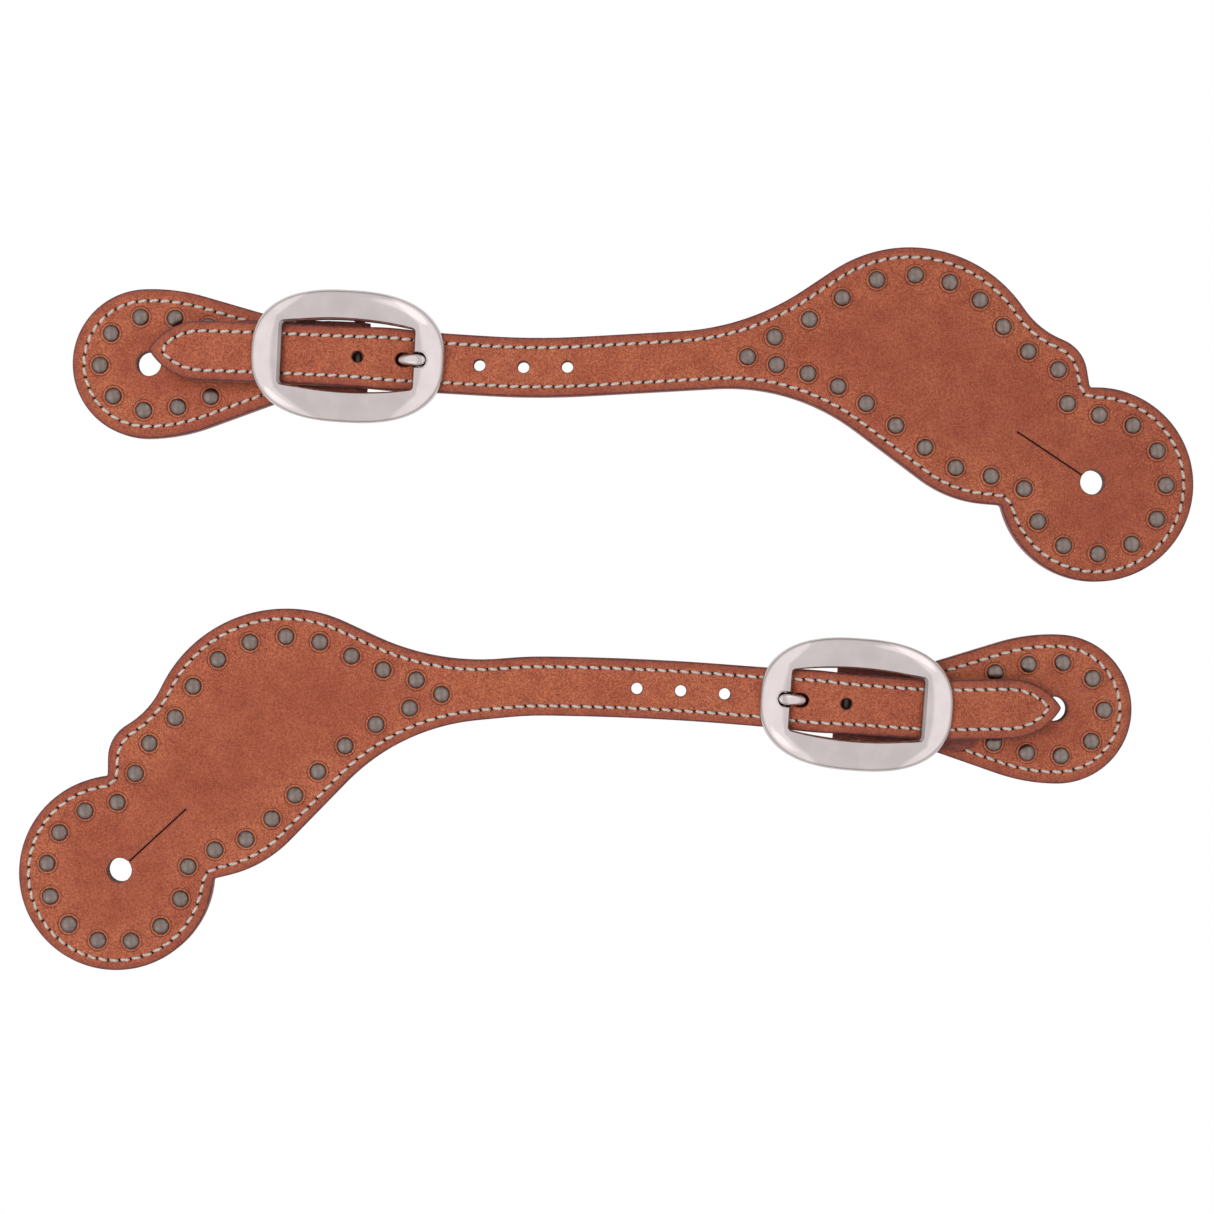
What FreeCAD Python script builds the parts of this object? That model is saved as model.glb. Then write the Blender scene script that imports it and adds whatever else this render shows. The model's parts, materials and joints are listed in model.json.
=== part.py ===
import FreeCAD, Part
import math
import os

# A pair of buckled western spur straps, lying flat on a table as mirror images of each other.
# Each strap is one long leather piece (pointed billet, plain neck, wide flare with a round end
# lobe) and one short leather tab, joined by an oval cart buckle.
# Frame: +Z up from the table, +X along the straps, origin on the table between the two straps.
#
# Each strap is drawn in its own frame first: origin on the table under the buckle's middle,
# +X along the billet towards the flare, +Y across.  It is then turned and moved into the pair.
# All sizes are in millimetres and all turns in degrees.

V = FreeCAD.Vector
UP = V(0, 0, 1)
ACROSS = V(0, 1, 0)
REACH = 400.0                # larger than anything here, for shapes that are trimmed afterwards
STRAIGHT = 0.01              # a stretch that turns less than this is drawn as a line

# ---- leather -----------------------------------------------------------------------------------
STRAP_WIDTH = 19.05          # 3/4 inch harness strap
HALF_STRAP = STRAP_WIDTH / 2
OUTER_PLY = 2.6
LINING_PLY = 1.8
LEATHER = OUTER_PLY + LINING_PLY
PLAY = 0.05                  # gap kept between neighbours that only touch
STITCH_INSET = 3.2           # seam line to the long strap's edge
TAB_STITCH_INSET = 3.8       # seam line to the tab's edge
THREAD_WIDTH = 0.9
THREAD_DEPTH = 0.35          # how deep the thread beds into the leather
SLIT_WIDTH = 0.4
SLIT_LENGTH = 25.4           # 1 inch
BUTTON_HOLE_R = 3.97         # 5/16 inch punch, for a spur button
BILLET_HOLE_R = 1.9

# ---- billet ------------------------------------------------------------------------------------
POINT_LENGTH = 17.0          # taper of the pointed end
TIP_BEND = (18.0, 32.0)      # the tip part leans sideways between these distances
SPARE_HOLES = (3.3, 41.8, 56.0, 70.2)    # unused punched holes
TIP_SLOPE = 0.06             # climb of the underside at the very point
# Underside of the billet (place along the strap, height): it climbs from the table over the bar
# and then rests on the folded end of the tab.
BILLET_RISE = ((-70, 4.9), (-50, 6.2), (-31, 6.45), (-12, 7.0), (2, 7.45),
               (11, 6.55), (21, 3.8), (31, 1.9), (45, 0.3), (57, 0))

# ---- flare, in a frame that starts where the neck widens: corner x, corner y, rounding radius -----
FLARE_LEAD = 15.0            # the neck's straight edge runs this far before the frame's origin
FLARE_TOP = ((7.0, HALF_STRAP, 80.0), (73.5, 48.7, 44.5), (100.7, 3.7, 27.0), (114.9, -3.3, 12.5))
FLARE_BOTTOM = ((20.9, -HALF_STRAP, 68.0), (68.8, -50.0, 39.5))
LOBE_CENTRE = (116.5, -47.4)
LOBE_R = 31.4
UPPER_NOTCH = 90.5           # where round the lobe the two notches fall
LOWER_NOTCH = 189.0
FLARE_HOLE = (115.3, -46.6)
SLIT_DIRECTION = 143.0       # from the flare's button hole back towards the neck

# ---- buckle ------------------------------------------------------------------------------------
BUCKLE_HALF_LENGTH = 30.7
BUCKLE_HALF_WIDTH = 21.1
BUCKLE_ROUNDNESS = 2.5       # exponent of the oval outline
OVAL_POINTS = 48             # points that the outline's smooth curve passes through
WINDOW_HALF_LENGTH = 20.9
WINDOW_HALF_WIDTH = 9.6      # at its ends
WINDOW_BOW = 2.0             # outward bow of its long sides
FRAME_THICKNESS = 3.2
FRAME_LIFT = 9.35            # underside of the frame's ends, mean height
FRAME_SLOPE = 0.066          # the frame's tab side sits higher
FRAME_ARCH = 1.2             # extra height at mid length
BAR_X = 2.5                  # the bar lies a little nearer to the tongue's rim
BAR_R = 1.75
BAR_HEIGHT = 3.7
BAR_LEG = 2.6                # width of the legs that carry the dropped bar
LEG_INNER = 11.8
TONGUE_WIDTH = 4.2
TONGUE_THICKNESS = 2.2
TONGUE_LOOP_WIDTH = 5.0
# Middle line of the tongue's shank (place along the strap, height)
TONGUE_LINE = ((3.5, 3.9), (7.5, 3.9), (11.5, 5.0), (16.0, 8.0), (20.0, 10.35), (25.0, 11.15))
TONGUE_SWING = 3.0           # play of the tongue while it sits in its hole
TONGUE_CLEARANCE = 0.2       # all round it in the leather
NOTCH_CLEARANCE = 0.15       # under its tip in the frame
NOTCH_R = 3.4
NOTCH_REACH = 25.6

# ---- tab ---------------------------------------------------------------------------------------
TAB_CENTRE = -65.6           # centre of its round end
TAB_R = 24.1
TAB_SHOULDER = (-55.5, 60.0)     # corner of the long flank, and its rounding radius
TAB_WAIST = (-17.3, 25.0)
TAB_HOLE = -65.0
TAB_SLIT_LENGTH = 16.0
TAB_SEAM_END = -20.0
CHAPE_HALF_WIDTH = 11.6      # the part of the tab that wraps round the bar
CHAPE_PLY = 1.8              # it is skived thinner there
FLAP_CENTRE = -32.8          # centre of the rounded end that is folded back on top of the tab
FLAP_HALF_WIDTH = 9.8
CHAPE_SETTLE = -18.0         # from here outwards both legs of the fold lie flat
TAB_PIVOT = -8.0             # tab and folded flap lean sideways about this point
CHAPE_SLOT = (-9.0, 3.1)     # start and half width of the slot for the tongue
RIVET_X = -29.0
RIVET_Y = 5.0
RIVET_POST_R = 1.3
RIVET_HEAD_R = 3.2
RIVET_HEAD = 0.6

# ---- studs -------------------------------------------------------------------------------------
STUD_R = 2.65
STUD_HEIGHT = 1.5
STUD_INSET = 9.0
ROW_STEP = 0.1               # fineness of the row that studs are spaced along
TAB_STUD_PITCH = 11.1
TAB_STUDS_EACH_SIDE = 4
PRONG = 0.5
PRONG_WIDTH = 1.2
PRONG_SPREAD = 1.6
# Two places on the flare that the stud row must pass, in the flare's frame
NECK_STUD_X = 6.4
LOWER_NOTCH_STUD = (92.3, -48.0)
# Gaps between studs: neck to crest, round the lobe, lower notch to lower side, and back
GAPS_TO_CREST = 5
GAPS_ROUND_LOBE = 10
GAPS_TO_LOWER_SIDE = 5
GAPS_TO_NECK = 4

# ---- neck flex joint ---------------------------------------------------------------------------
FLEX_STATION = 97.0          # distance from the buckle's middle to the joint, along the strap
FLEX_GAP = 0.1
FLEX_UP = 32.0               # a little more than the joint's range, each way
FLEX_DOWN = 52.0
FLEX_CUT = 40.0              # how far above and below the leather the cutting shape goes

# ---- the two straps ----------------------------------------------------------------------------
# run: stretches of strap from the buckle's middle to the flare (length, turn)
# billet_reach: buckle's middle to the billet's point
# tip_turn, tab_turn, flap_turn: how far those parts lean sideways
# crest_stud, notch_stud, side_stud: other places that the stud row must pass
# gaps_to_notch: gaps between studs from the crest to the upper notch
# heading and place: how the strap lies on the table
STRAPS = {
    "right": dict(run=((48, 0.0), (28, 6.0), (31, 0.0)), billet_reach=64.0,
                  tip_turn=-0.8, tab_turn=4.7, flap_turn=-2.5,
                  crest_stud=(62.0, 23.5), notch_stud=(110.7, -19.5), side_stud=(43.5, -17.5),
                  gaps_to_notch=6, heading=-2.8, place=(-82.63, 80.59), mirrored=False),
    "left": dict(run=((45, 0.0), (55, -3.6), (12, -6.1)), billet_reach=66.0,
                 tip_turn=5.1, tab_turn=-3.0, flap_turn=7.0,
                 crest_stud=(54.5, 23.5), notch_stud=(114.5, -22.5), side_stud=(48.5, -21.0),
                 gaps_to_notch=7, heading=4.2, place=(-79.97, -30.61), mirrored=True),
}


# ---- flat outlines -----------------------------------------------------------------------------
def flat(x, y):
    return V(x, y, 0)


def turned(x, y, degrees):
    angle = math.radians(degrees)
    return (x * math.cos(angle) - y * math.sin(angle),
            x * math.sin(angle) + y * math.cos(angle))


def arc(start, middle, end):
    return Part.Arc(start, middle, end).toShape()


def rounded_path(start, corners, end):
    """Edges from start to end past corners (x, y, radius), each corner rounded by an arc."""
    edges = []
    here = flat(*start)
    stops = list(corners) + [(end[0], end[1], 0)]
    for (x, y, radius), (next_x, next_y, _) in zip(stops, stops[1:]):
        corner = flat(x, y)
        back = (here - corner).normalize()
        onward = (flat(next_x, next_y) - corner).normalize()
        half = back.getAngle(onward) / 2
        reach = radius / math.tan(half)
        centre = corner + (back + onward).normalize() * (radius / math.sin(half))
        first = corner + back * reach
        last = corner + onward * reach
        middle = centre + (corner - centre).normalize() * radius
        edges.append(Part.makeLine(here, first))
        edges.append(arc(first, middle, last))
        here = last
    edges.append(Part.makeLine(here, flat(*end)))
    return edges


def face_of(edges):
    return Part.Face(Part.Wire(Part.__sortEdges__(edges)))


def prism(face, low=-REACH, high=REACH):
    """The face as a solid standing between two heights."""
    solid = face.extrude(UP * (high - low))
    solid.translate(UP * low)
    return solid


# ---- the strap's run: where it goes across the table ---------------------------------------------
def follow(stretches, distance):
    """Place and heading after a distance along stretches (length, turn), starting along +X."""
    x = 0.0
    y = 0.0
    heading = 0.0
    for length, turn in stretches:
        step = min(length, distance)
        share = turn * step / length
        half = math.radians(share) / 2
        chord = step * math.sin(half) / half if half else step
        move = turned(chord, 0, heading + share / 2)
        x += move[0]
        y += move[1]
        heading += share
        distance -= step
        if distance <= 0:
            break
    return x, y, heading


def centreline(strap, station):
    """Place and heading of the strap's middle line at a distance from the buckle's middle."""
    if station >= 0:
        return follow(strap["run"] + ((REACH, 0.0),), station)
    tip_run = ((TIP_BEND[0], 0.0), (TIP_BEND[1] - TIP_BEND[0], -strap["tip_turn"]), (REACH, 0.0))
    x, y, heading = follow(tip_run, -station)
    return -x, -y, heading


def beside(strap, station, offset):
    """A point at a distance from the buckle's middle along the strap, and offset across it."""
    x, y, heading = centreline(strap, station)
    side = turned(0, offset, heading)
    return flat(x + side[0], y + side[1])


def run_length(strap):
    return sum(length for length, _ in strap["run"])


def side_edges(strap, offset):
    """One long edge of the plain strap, from the billet's shoulder to the flare."""
    breaks = [POINT_LENGTH - strap["billet_reach"], -TIP_BEND[1], -TIP_BEND[0]]
    station = 0
    for length, _ in strap["run"]:
        station += length
        breaks.append(station)
    edges = []
    for first, last in zip(breaks, breaks[1:]):
        start = beside(strap, first, offset)
        end = beside(strap, last, offset)
        turn = centreline(strap, last)[2] - centreline(strap, first)[2]
        if abs(turn) < STRAIGHT:
            edges.append(Part.makeLine(start, end))
        else:
            edges.append(arc(start, beside(strap, (first + last) / 2, offset), end))
    return edges


def point_edges(strap, inset):
    """The billet's pointed end: two arcs that leave the sides smoothly and meet at the point."""
    radius = (POINT_LENGTH ** 2 + HALF_STRAP ** 2) / (2 * HALF_STRAP)
    below = radius - HALF_STRAP
    arc_radius = radius - inset
    length = math.sqrt(arc_radius ** 2 - below ** 2)
    half = math.asin(length / arc_radius) / 2
    shoulder = POINT_LENGTH - strap["billet_reach"]
    along = shoulder - arc_radius * math.sin(half)
    across = arc_radius * math.cos(half) - below
    point = beside(strap, shoulder - length, 0)
    edges = []
    for side in (1, -1):
        start = beside(strap, shoulder, side * (HALF_STRAP - inset))
        edges.append(arc(start, beside(strap, along, side * across), point))
    return edges


def ribbon_face(strap, inset):
    """The plain strap from the billet's point to the flare, its edges moved inwards by an inset."""
    half_width = HALF_STRAP - inset
    end = run_length(strap)
    closing = Part.makeLine(beside(strap, end, half_width), beside(strap, end, -half_width))
    edges = side_edges(strap, half_width) + side_edges(strap, -half_width)
    return face_of(edges + point_edges(strap, inset) + [closing])


def on_lobe(degrees):
    offset = turned(LOBE_R, 0, degrees)
    return (LOBE_CENTRE[0] + offset[0], LOBE_CENTRE[1] + offset[1])


def flare_face(lead):
    """The flare, with a stretch of plain neck of the given length before its frame's origin."""
    upper = rounded_path((-lead, HALF_STRAP), FLARE_TOP, on_lobe(UPPER_NOTCH))
    lower = rounded_path((-lead, -HALF_STRAP), FLARE_BOTTOM, on_lobe(LOWER_NOTCH))
    far_side = (UPPER_NOTCH + LOWER_NOTCH) / 2 + 180
    lobe = arc(flat(*on_lobe(UPPER_NOTCH)), flat(*on_lobe(far_side)), flat(*on_lobe(LOWER_NOTCH)))
    closing = Part.makeLine(flat(-lead, HALF_STRAP), flat(-lead, -HALF_STRAP))
    return face_of(upper + [lobe] + lower + [closing])


def to_strap(strap, shape):
    """Moves a shape from the flare's frame into the strap's frame."""
    x, y, heading = centreline(strap, run_length(strap) + FLARE_LEAD)
    moved = shape.copy()
    moved.rotate(V(0, 0, 0), UP, heading)
    moved.translate(flat(x, y))
    return moved


def strap_prism(strap, inset=0.0):
    """The whole long strap as an upright prism, its edges moved inwards by an inset."""
    flare = flare_face(FLARE_LEAD + inset)
    if inset:
        flare = flare.makeOffset2D(-inset)
    whole = prism(ribbon_face(strap, inset)).fuse(to_strap(strap, prism(flare)))
    return whole.removeSplitter()


def tab_face(strap):
    """The tab, from the buckle to its round end, leaning sideways about its pivot."""
    top = (TAB_CENTRE, TAB_R)
    waist = (TAB_WAIST[0], CHAPE_HALF_WIDTH, TAB_WAIST[1])
    shoulder = (TAB_SHOULDER[0], TAB_R, TAB_SHOULDER[1])
    upper = rounded_path((0, CHAPE_HALF_WIDTH), (waist, shoulder), top)
    lower = [edge.mirror(V(0, 0, 0), ACROSS) for edge in upper]
    end = arc(flat(*top), flat(TAB_CENTRE - TAB_R, 0), flat(TAB_CENTRE, -TAB_R))
    closing = Part.makeLine(flat(0, CHAPE_HALF_WIDTH), flat(0, -CHAPE_HALF_WIDTH))
    return lean(face_of(upper + lower + [end, closing]), strap["tab_turn"])


def flap_face(strap):
    """The rounded end of the chape that lies folded back on top of the tab."""
    top = flat(FLAP_CENTRE, FLAP_HALF_WIDTH)
    bottom = flat(FLAP_CENTRE, -FLAP_HALF_WIDTH)
    waist = flat(CHAPE_SETTLE, FLAP_HALF_WIDTH)
    low_waist = flat(CHAPE_SETTLE, -FLAP_HALF_WIDTH)
    root = flat(0, CHAPE_HALF_WIDTH)
    low_root = flat(0, -CHAPE_HALF_WIDTH)
    edges = [Part.makeLine(root, waist), Part.makeLine(waist, top),
             arc(top, flat(FLAP_CENTRE - FLAP_HALF_WIDTH, 0), bottom),
             Part.makeLine(bottom, low_waist), Part.makeLine(low_waist, low_root),
             Part.makeLine(low_root, root)]
    return lean(face_of(edges), strap["flap_turn"])


def lean(shape, degrees):
    moved = shape.copy()
    moved.rotate(flat(TAB_PIVOT, 0), UP, degrees)
    return moved


# ---- layers: how high each thing lies ------------------------------------------------------------
def rise_edge(height):
    """The billet's rise and the flat table beyond it, lifted by a height, seen from the side."""
    points = [V(x, 0, z + height) for x, z in BILLET_RISE]
    curve = Part.BSplineCurve()
    curve.interpolate(Points=points, InitialTangent=V(1, 0, TIP_SLOPE), FinalTangent=V(1, 0, 0))
    return [curve.toShape(), Part.makeLine(points[-1], V(REACH, 0, height))]


def strap_layer(low, high):
    """A layer of the long strap between two heights above its own underside."""
    start = BILLET_RISE[0]
    edges = rise_edge(low) + rise_edge(high)
    edges.append(Part.makeLine(V(start[0], 0, start[1] + low), V(start[0], 0, start[1] + high)))
    edges.append(Part.makeLine(V(REACH, 0, low), V(REACH, 0, high)))
    layer = face_of(edges).extrude(ACROSS * REACH)
    layer.translate(ACROSS * (-REACH / 2))
    return layer


def ease(start, end, flat_x):
    """A smooth climb between two side-view points that leaves and arrives level."""
    middle = V((start.x + end.x) / 2, 0, (start.z + end.z) / 2)
    curve = Part.BSplineCurve()
    curve.interpolate(Points=[start, middle, end], InitialTangent=V(flat_x, 0, 0),
                      FinalTangent=V(flat_x, 0, 0))
    return curve.toShape()


def chape_layer(upper):
    """One leg of the chape's fold: half of the loop round the bar, then leather that lies flat."""
    inner = BAR_R + PLAY
    outer = inner + CHAPE_PLY
    if upper:
        sign = 1
        near = LEATHER + PLAY
        far = near + CHAPE_PLY
    else:
        sign = -1
        near = LEATHER
        far = LINING_PLY
    bar = V(BAR_X, 0, BAR_HEIGHT)
    inner_start = bar + UP * sign * inner
    outer_start = bar + UP * sign * outer
    inner_rest = V(CHAPE_SETTLE, 0, near)
    outer_rest = V(CHAPE_SETTLE, 0, far)
    slant = V(1, 0, sign).normalize()
    edges = [
        arc(bar + V(inner, 0, 0), bar + slant * inner, inner_start),
        arc(bar + V(outer, 0, 0), bar + slant * outer, outer_start),
        Part.makeLine(bar + V(inner, 0, 0), bar + V(outer, 0, 0)),
        ease(inner_start, inner_rest, -1),
        ease(outer_start, outer_rest, -1),
        Part.makeLine(inner_rest, V(-REACH, 0, near)),
        Part.makeLine(outer_rest, V(-REACH, 0, far)),
        Part.makeLine(V(-REACH, 0, near), V(-REACH, 0, far)),
    ]
    layer = face_of(edges).extrude(ACROSS * REACH)
    layer.translate(ACROSS * (-REACH / 2))
    return layer


# ---- cutting tools -------------------------------------------------------------------------------
def box(low, high):
    return Part.makeBox(high[0] - low[0], high[1] - low[1], high[2] - low[2], V(*low))


def post(x, y, radius, low=-REACH, high=REACH):
    return Part.makeCylinder(radius, high - low, V(x, y, low), UP)


def button_hole(x, y, slit_length, slit_direction):
    """A round hole with a straight slit, which opens to let a spur button through."""
    half = SLIT_WIDTH / 2
    slit = box((0, -half, -REACH), (BUTTON_HOLE_R + slit_length, half, REACH))
    slit.rotate(V(0, 0, 0), UP, slit_direction)
    slit.translate(flat(x, y))
    return post(x, y, BUTTON_HOLE_R).fuse(slit)


def neck_gap(strap):
    """Hourglass gap across the neck, so that the two halves can turn about the joint."""
    x, y, heading = centreline(strap, FLEX_STATION)
    middle = LEATHER / 2
    side = []
    for lift, angle in ((FLEX_CUT, FLEX_UP), (-FLEX_CUT, FLEX_DOWN)):
        reach = FLEX_GAP / 2 + abs(lift) * math.tan(math.radians(angle / 2))
        side.append((reach, middle + lift))
    corners = [V(-side[0][0], 0, side[0][1]), V(side[0][0], 0, side[0][1]),
               V(FLEX_GAP / 2, 0, middle), V(side[1][0], 0, side[1][1]),
               V(-side[1][0], 0, side[1][1]), V(-FLEX_GAP / 2, 0, middle)]
    gap = Part.Face(Part.makePolygon(corners + corners[:1])).extrude(ACROSS * 2 * STRAP_WIDTH)
    gap.translate(-ACROSS * STRAP_WIDTH)
    gap.rotate(V(0, 0, 0), UP, heading)
    gap.translate(flat(x, y))
    return gap


def split_at_neck(strap, shape):
    """The billet's part and the flare's part of something that runs along the whole strap."""
    middle = centreline(strap, FLEX_STATION)[0]
    solids = shape.cut(neck_gap(strap)).Solids
    billet = [solid for solid in solids if solid.CenterOfMass.x < middle]
    flare = [solid for solid in solids if solid.CenterOfMass.x >= middle]
    return Part.makeCompound(billet), Part.makeCompound(flare)


# ---- seams ---------------------------------------------------------------------------------------
def strap_seam(strap):
    """The lockstitch's two runs of thread, bedded in the top and the underside."""
    wide = strap_prism(strap, STITCH_INSET - THREAD_WIDTH / 2)
    ring = wide.cut(strap_prism(strap, STITCH_INSET + THREAD_WIDTH / 2))
    top = ring.common(strap_layer(LEATHER - THREAD_DEPTH, LEATHER))
    underside = ring.common(strap_layer(0, THREAD_DEPTH))
    return Part.makeCompound(top.Solids + underside.Solids)


def tab_seam(strap):
    seamed = box((-REACH, -REACH, -REACH), (TAB_SEAM_END, REACH, REACH))
    wide = tab_face(strap).makeOffset2D(THREAD_WIDTH / 2 - TAB_STITCH_INSET)
    narrow = tab_face(strap).makeOffset2D(-THREAD_WIDTH / 2 - TAB_STITCH_INSET)
    ring = prism(wide.cut(narrow)).common(seamed)
    top = ring.common(box((-REACH, -REACH, LEATHER - THREAD_DEPTH), (REACH, REACH, LEATHER)))
    underside = ring.common(box((-REACH, -REACH, 0), (REACH, REACH, THREAD_DEPTH)))
    return Part.makeCompound(top.Solids + underside.Solids)


# ---- studs ---------------------------------------------------------------------------------------
def stud(place):
    """A domed spot whose two prongs go through the outer ply and are clinched under it."""
    ball = (STUD_R ** 2 + STUD_HEIGHT ** 2) / (2 * STUD_HEIGHT)
    sunk = ball - STUD_HEIGHT
    rim_angle = math.degrees(math.asin(sunk / ball))
    spot = Part.makeSphere(ball, V(0, 0, LEATHER - sunk), UP, rim_angle, 90, 360)
    half = PRONG_WIDTH / 2
    for sign in (1, -1):
        outside = sign * (PRONG_SPREAD + PRONG / 2)
        leg = sorted((outside, sign * (PRONG_SPREAD - PRONG / 2)))
        foot = sorted((outside, sign * PRONG))
        spot = spot.fuse(box((leg[0], -half, LINING_PLY), (leg[1], half, LEATHER)))
        spot = spot.fuse(box((foot[0], -half, LINING_PLY), (foot[1], half, LINING_PLY + PRONG)))
    spot.translate(flat(place.x, place.y))
    return spot


def row_points(face):
    """Closely spaced points along the closed line that a face's studs follow."""
    row = face.makeOffset2D(-STUD_INSET).OuterWire
    return row.discretize(Number=int(row.Length / ROW_STEP))[:-1]


def nearest(points, place):
    return min(range(len(points)), key=lambda index: points[index].distanceToPoint(place))


def spaced(points, start, end, gaps):
    """Evenly spaced places from start up to, but not including, end, the shorter way round."""
    first = nearest(points, flat(*start))
    ahead = (nearest(points, flat(*end)) - first) % len(points)
    if ahead > len(points) / 2:
        ahead -= len(points)
    return [points[(first + round(ahead * gap / gaps)) % len(points)] for gap in range(gaps)]


def flare_studs(strap):
    """The row of studs round the flare: it starts and ends at one stud in the middle of the neck."""
    studded = box((NECK_STUD_X - STUD_INSET, -REACH, -1), (REACH, REACH, 1))
    points = row_points(flare_face(FLARE_LEAD).common(studded).Faces[0])
    neck = (NECK_STUD_X, 0)
    crest, notch, side = (strap[name] for name in ("crest_stud", "notch_stud", "side_stud"))
    places = spaced(points, neck, crest, GAPS_TO_CREST)
    places += spaced(points, crest, notch, strap["gaps_to_notch"])
    places += spaced(points, notch, LOWER_NOTCH_STUD, GAPS_ROUND_LOBE)
    places += spaced(points, LOWER_NOTCH_STUD, side, GAPS_TO_LOWER_SIDE)
    places += spaced(points, side, neck, GAPS_TO_NECK)
    return to_strap(strap, Part.makeCompound([stud(place) for place in places]))


def tab_studs(strap):
    """Studs spaced both ways from the far end of the tab."""
    points = row_points(tab_face(strap))
    tip = turned(TAB_CENTRE - TAB_R - TAB_PIVOT, 0, strap["tab_turn"])
    far_end = nearest(points, flat(tip[0] + TAB_PIVOT, tip[1]))
    step = round(TAB_STUD_PITCH / ROW_STEP)
    offsets = range(-TAB_STUDS_EACH_SIDE, TAB_STUDS_EACH_SIDE + 1)
    places = [points[(far_end + step * offset) % len(points)] for offset in offsets]
    return Part.makeCompound([stud(place) for place in places])


# ---- buckle --------------------------------------------------------------------------------------
def along_bar(radius, half_length):
    """A rod on the buckle bar's axis."""
    return Part.makeCylinder(radius, 2 * half_length, V(BAR_X, -half_length, BAR_HEIGHT), ACROSS)


def oval_face():
    power = 2 / BUCKLE_ROUNDNESS
    points = []
    for index in range(OVAL_POINTS):
        angle = 2 * math.pi * index / OVAL_POINTS
        x = math.copysign(abs(math.cos(angle)) ** power, math.cos(angle)) * BUCKLE_HALF_LENGTH
        y = math.copysign(abs(math.sin(angle)) ** power, math.sin(angle)) * BUCKLE_HALF_WIDTH
        points.append(flat(x, y))
    curve = Part.BSplineCurve()
    curve.interpolate(Points=points, PeriodicFlag=True)
    return face_of([curve.toShape()])


def window_face():
    edges = []
    for sign in (1, -1):
        left = flat(-WINDOW_HALF_LENGTH, sign * WINDOW_HALF_WIDTH)
        right = flat(WINDOW_HALF_LENGTH, sign * WINDOW_HALF_WIDTH)
        edges.append(arc(left, flat(0, sign * (WINDOW_HALF_WIDTH + WINDOW_BOW)), right))
        end_x = sign * WINDOW_HALF_LENGTH
        edges.append(Part.makeLine(flat(end_x, WINDOW_HALF_WIDTH), flat(end_x, -WINDOW_HALF_WIDTH)))
    return face_of(edges)


def frame_underside(x):
    return FRAME_LIFT - FRAME_SLOPE * x + FRAME_ARCH * (1 - (x / BUCKLE_HALF_LENGTH) ** 2)


def frame_layer(low, high):
    """The frame's gently arched plate, seen from the side and drawn across."""
    ends = (-BUCKLE_HALF_LENGTH - 1, BUCKLE_HALF_LENGTH + 1)
    edges = []
    for lift in (low, high):
        stops = [V(x, 0, frame_underside(x) + lift) for x in (ends[0], 0, ends[1])]
        curve = Part.BSplineCurve()
        curve.interpolate(Points=stops)
        edges.append(curve.toShape())
    for x in ends:
        base = V(x, 0, frame_underside(x))
        edges.append(Part.makeLine(base + UP * low, base + UP * high))
    layer = face_of(edges).extrude(ACROSS * REACH)
    layer.translate(ACROSS * (-REACH / 2))
    return layer


def tongue_line(offset):
    """The tongue's middle line from the side, moved square to itself by an offset."""
    middle = Part.BSplineCurve()
    middle.interpolate(Points=[V(x, 0, z) for x, z in TONGUE_LINE])
    points = []
    for x, z in TONGUE_LINE:
        place = V(x, 0, z)
        direction = middle.tangent(middle.parameter(place))[0]
        points.append(place + V(-direction.z, 0, direction.x) * offset)
    curve = Part.BSplineCurve()
    curve.interpolate(Points=points)
    return curve.toShape(), points[0], points[-1]


def tongue_shank(margin):
    """The bent shank that ends in a round tip, with a margin on every side."""
    half_width = TONGUE_WIDTH / 2 + margin
    under, under_start, under_end = tongue_line(-TONGUE_THICKNESS / 2 - margin)
    over, over_start, over_end = tongue_line(TONGUE_THICKNESS / 2 + margin)
    start = Part.makeLine(under_start, over_start)
    end = Part.makeLine(under_end, over_end)
    shank = face_of([under, over, start, end]).extrude(ACROSS * 2 * half_width)
    shank.translate(-ACROSS * half_width)
    bend = TONGUE_LINE[-1][0] - TONGUE_WIDTH / 2
    plan = face_of([
        Part.makeLine(flat(-half_width, half_width), flat(bend, half_width)),
        arc(flat(bend, half_width), flat(bend + half_width, 0), flat(bend, -half_width)),
        Part.makeLine(flat(bend, -half_width), flat(-half_width, -half_width)),
        Part.makeLine(flat(-half_width, -half_width), flat(-half_width, half_width)),
    ])
    return shank.common(prism(plan))


def tongue():
    loop = along_bar(BAR_R + CHAPE_PLY - PLAY, TONGUE_LOOP_WIDTH / 2)
    return loop.fuse(tongue_shank(0)).cut(along_bar(BAR_R + PLAY, TONGUE_LOOP_WIDTH))


def tongue_slot():
    """The hole that the tongue keeps open in the billet through its small swing."""
    slot = None
    for swing in (0, TONGUE_SWING / 2, TONGUE_SWING):
        shank = tongue_shank(TONGUE_CLEARANCE)
        shank.rotate(V(BAR_X, 0, BAR_HEIGHT), -ACROSS, swing)
        slot = shank if slot is None else slot.fuse(shank)
    return slot


def notch():
    """The scoop in the frame's rim, with a seat in it where the tongue's tip rests."""
    tip_x, tip_z = TONGUE_LINE[-1]
    root_x, root_z = TONGUE_LINE[-2]
    slope = (tip_z - root_z) / (tip_x - root_x)
    end_x = NOTCH_REACH - NOTCH_R
    floor = tip_z - TONGUE_THICKNESS / 2 - NOTCH_CLEARANCE + slope * (end_x - tip_x)
    end = V(end_x, 0, floor + NOTCH_R)
    run = V(-1, 0, -slope).normalize()
    scoop = Part.makeSphere(NOTCH_R, end).fuse(Part.makeCylinder(NOTCH_R, 2 * NOTCH_R, end, run))
    return scoop.fuse(tongue_shank(NOTCH_CLEARANCE))


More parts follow.
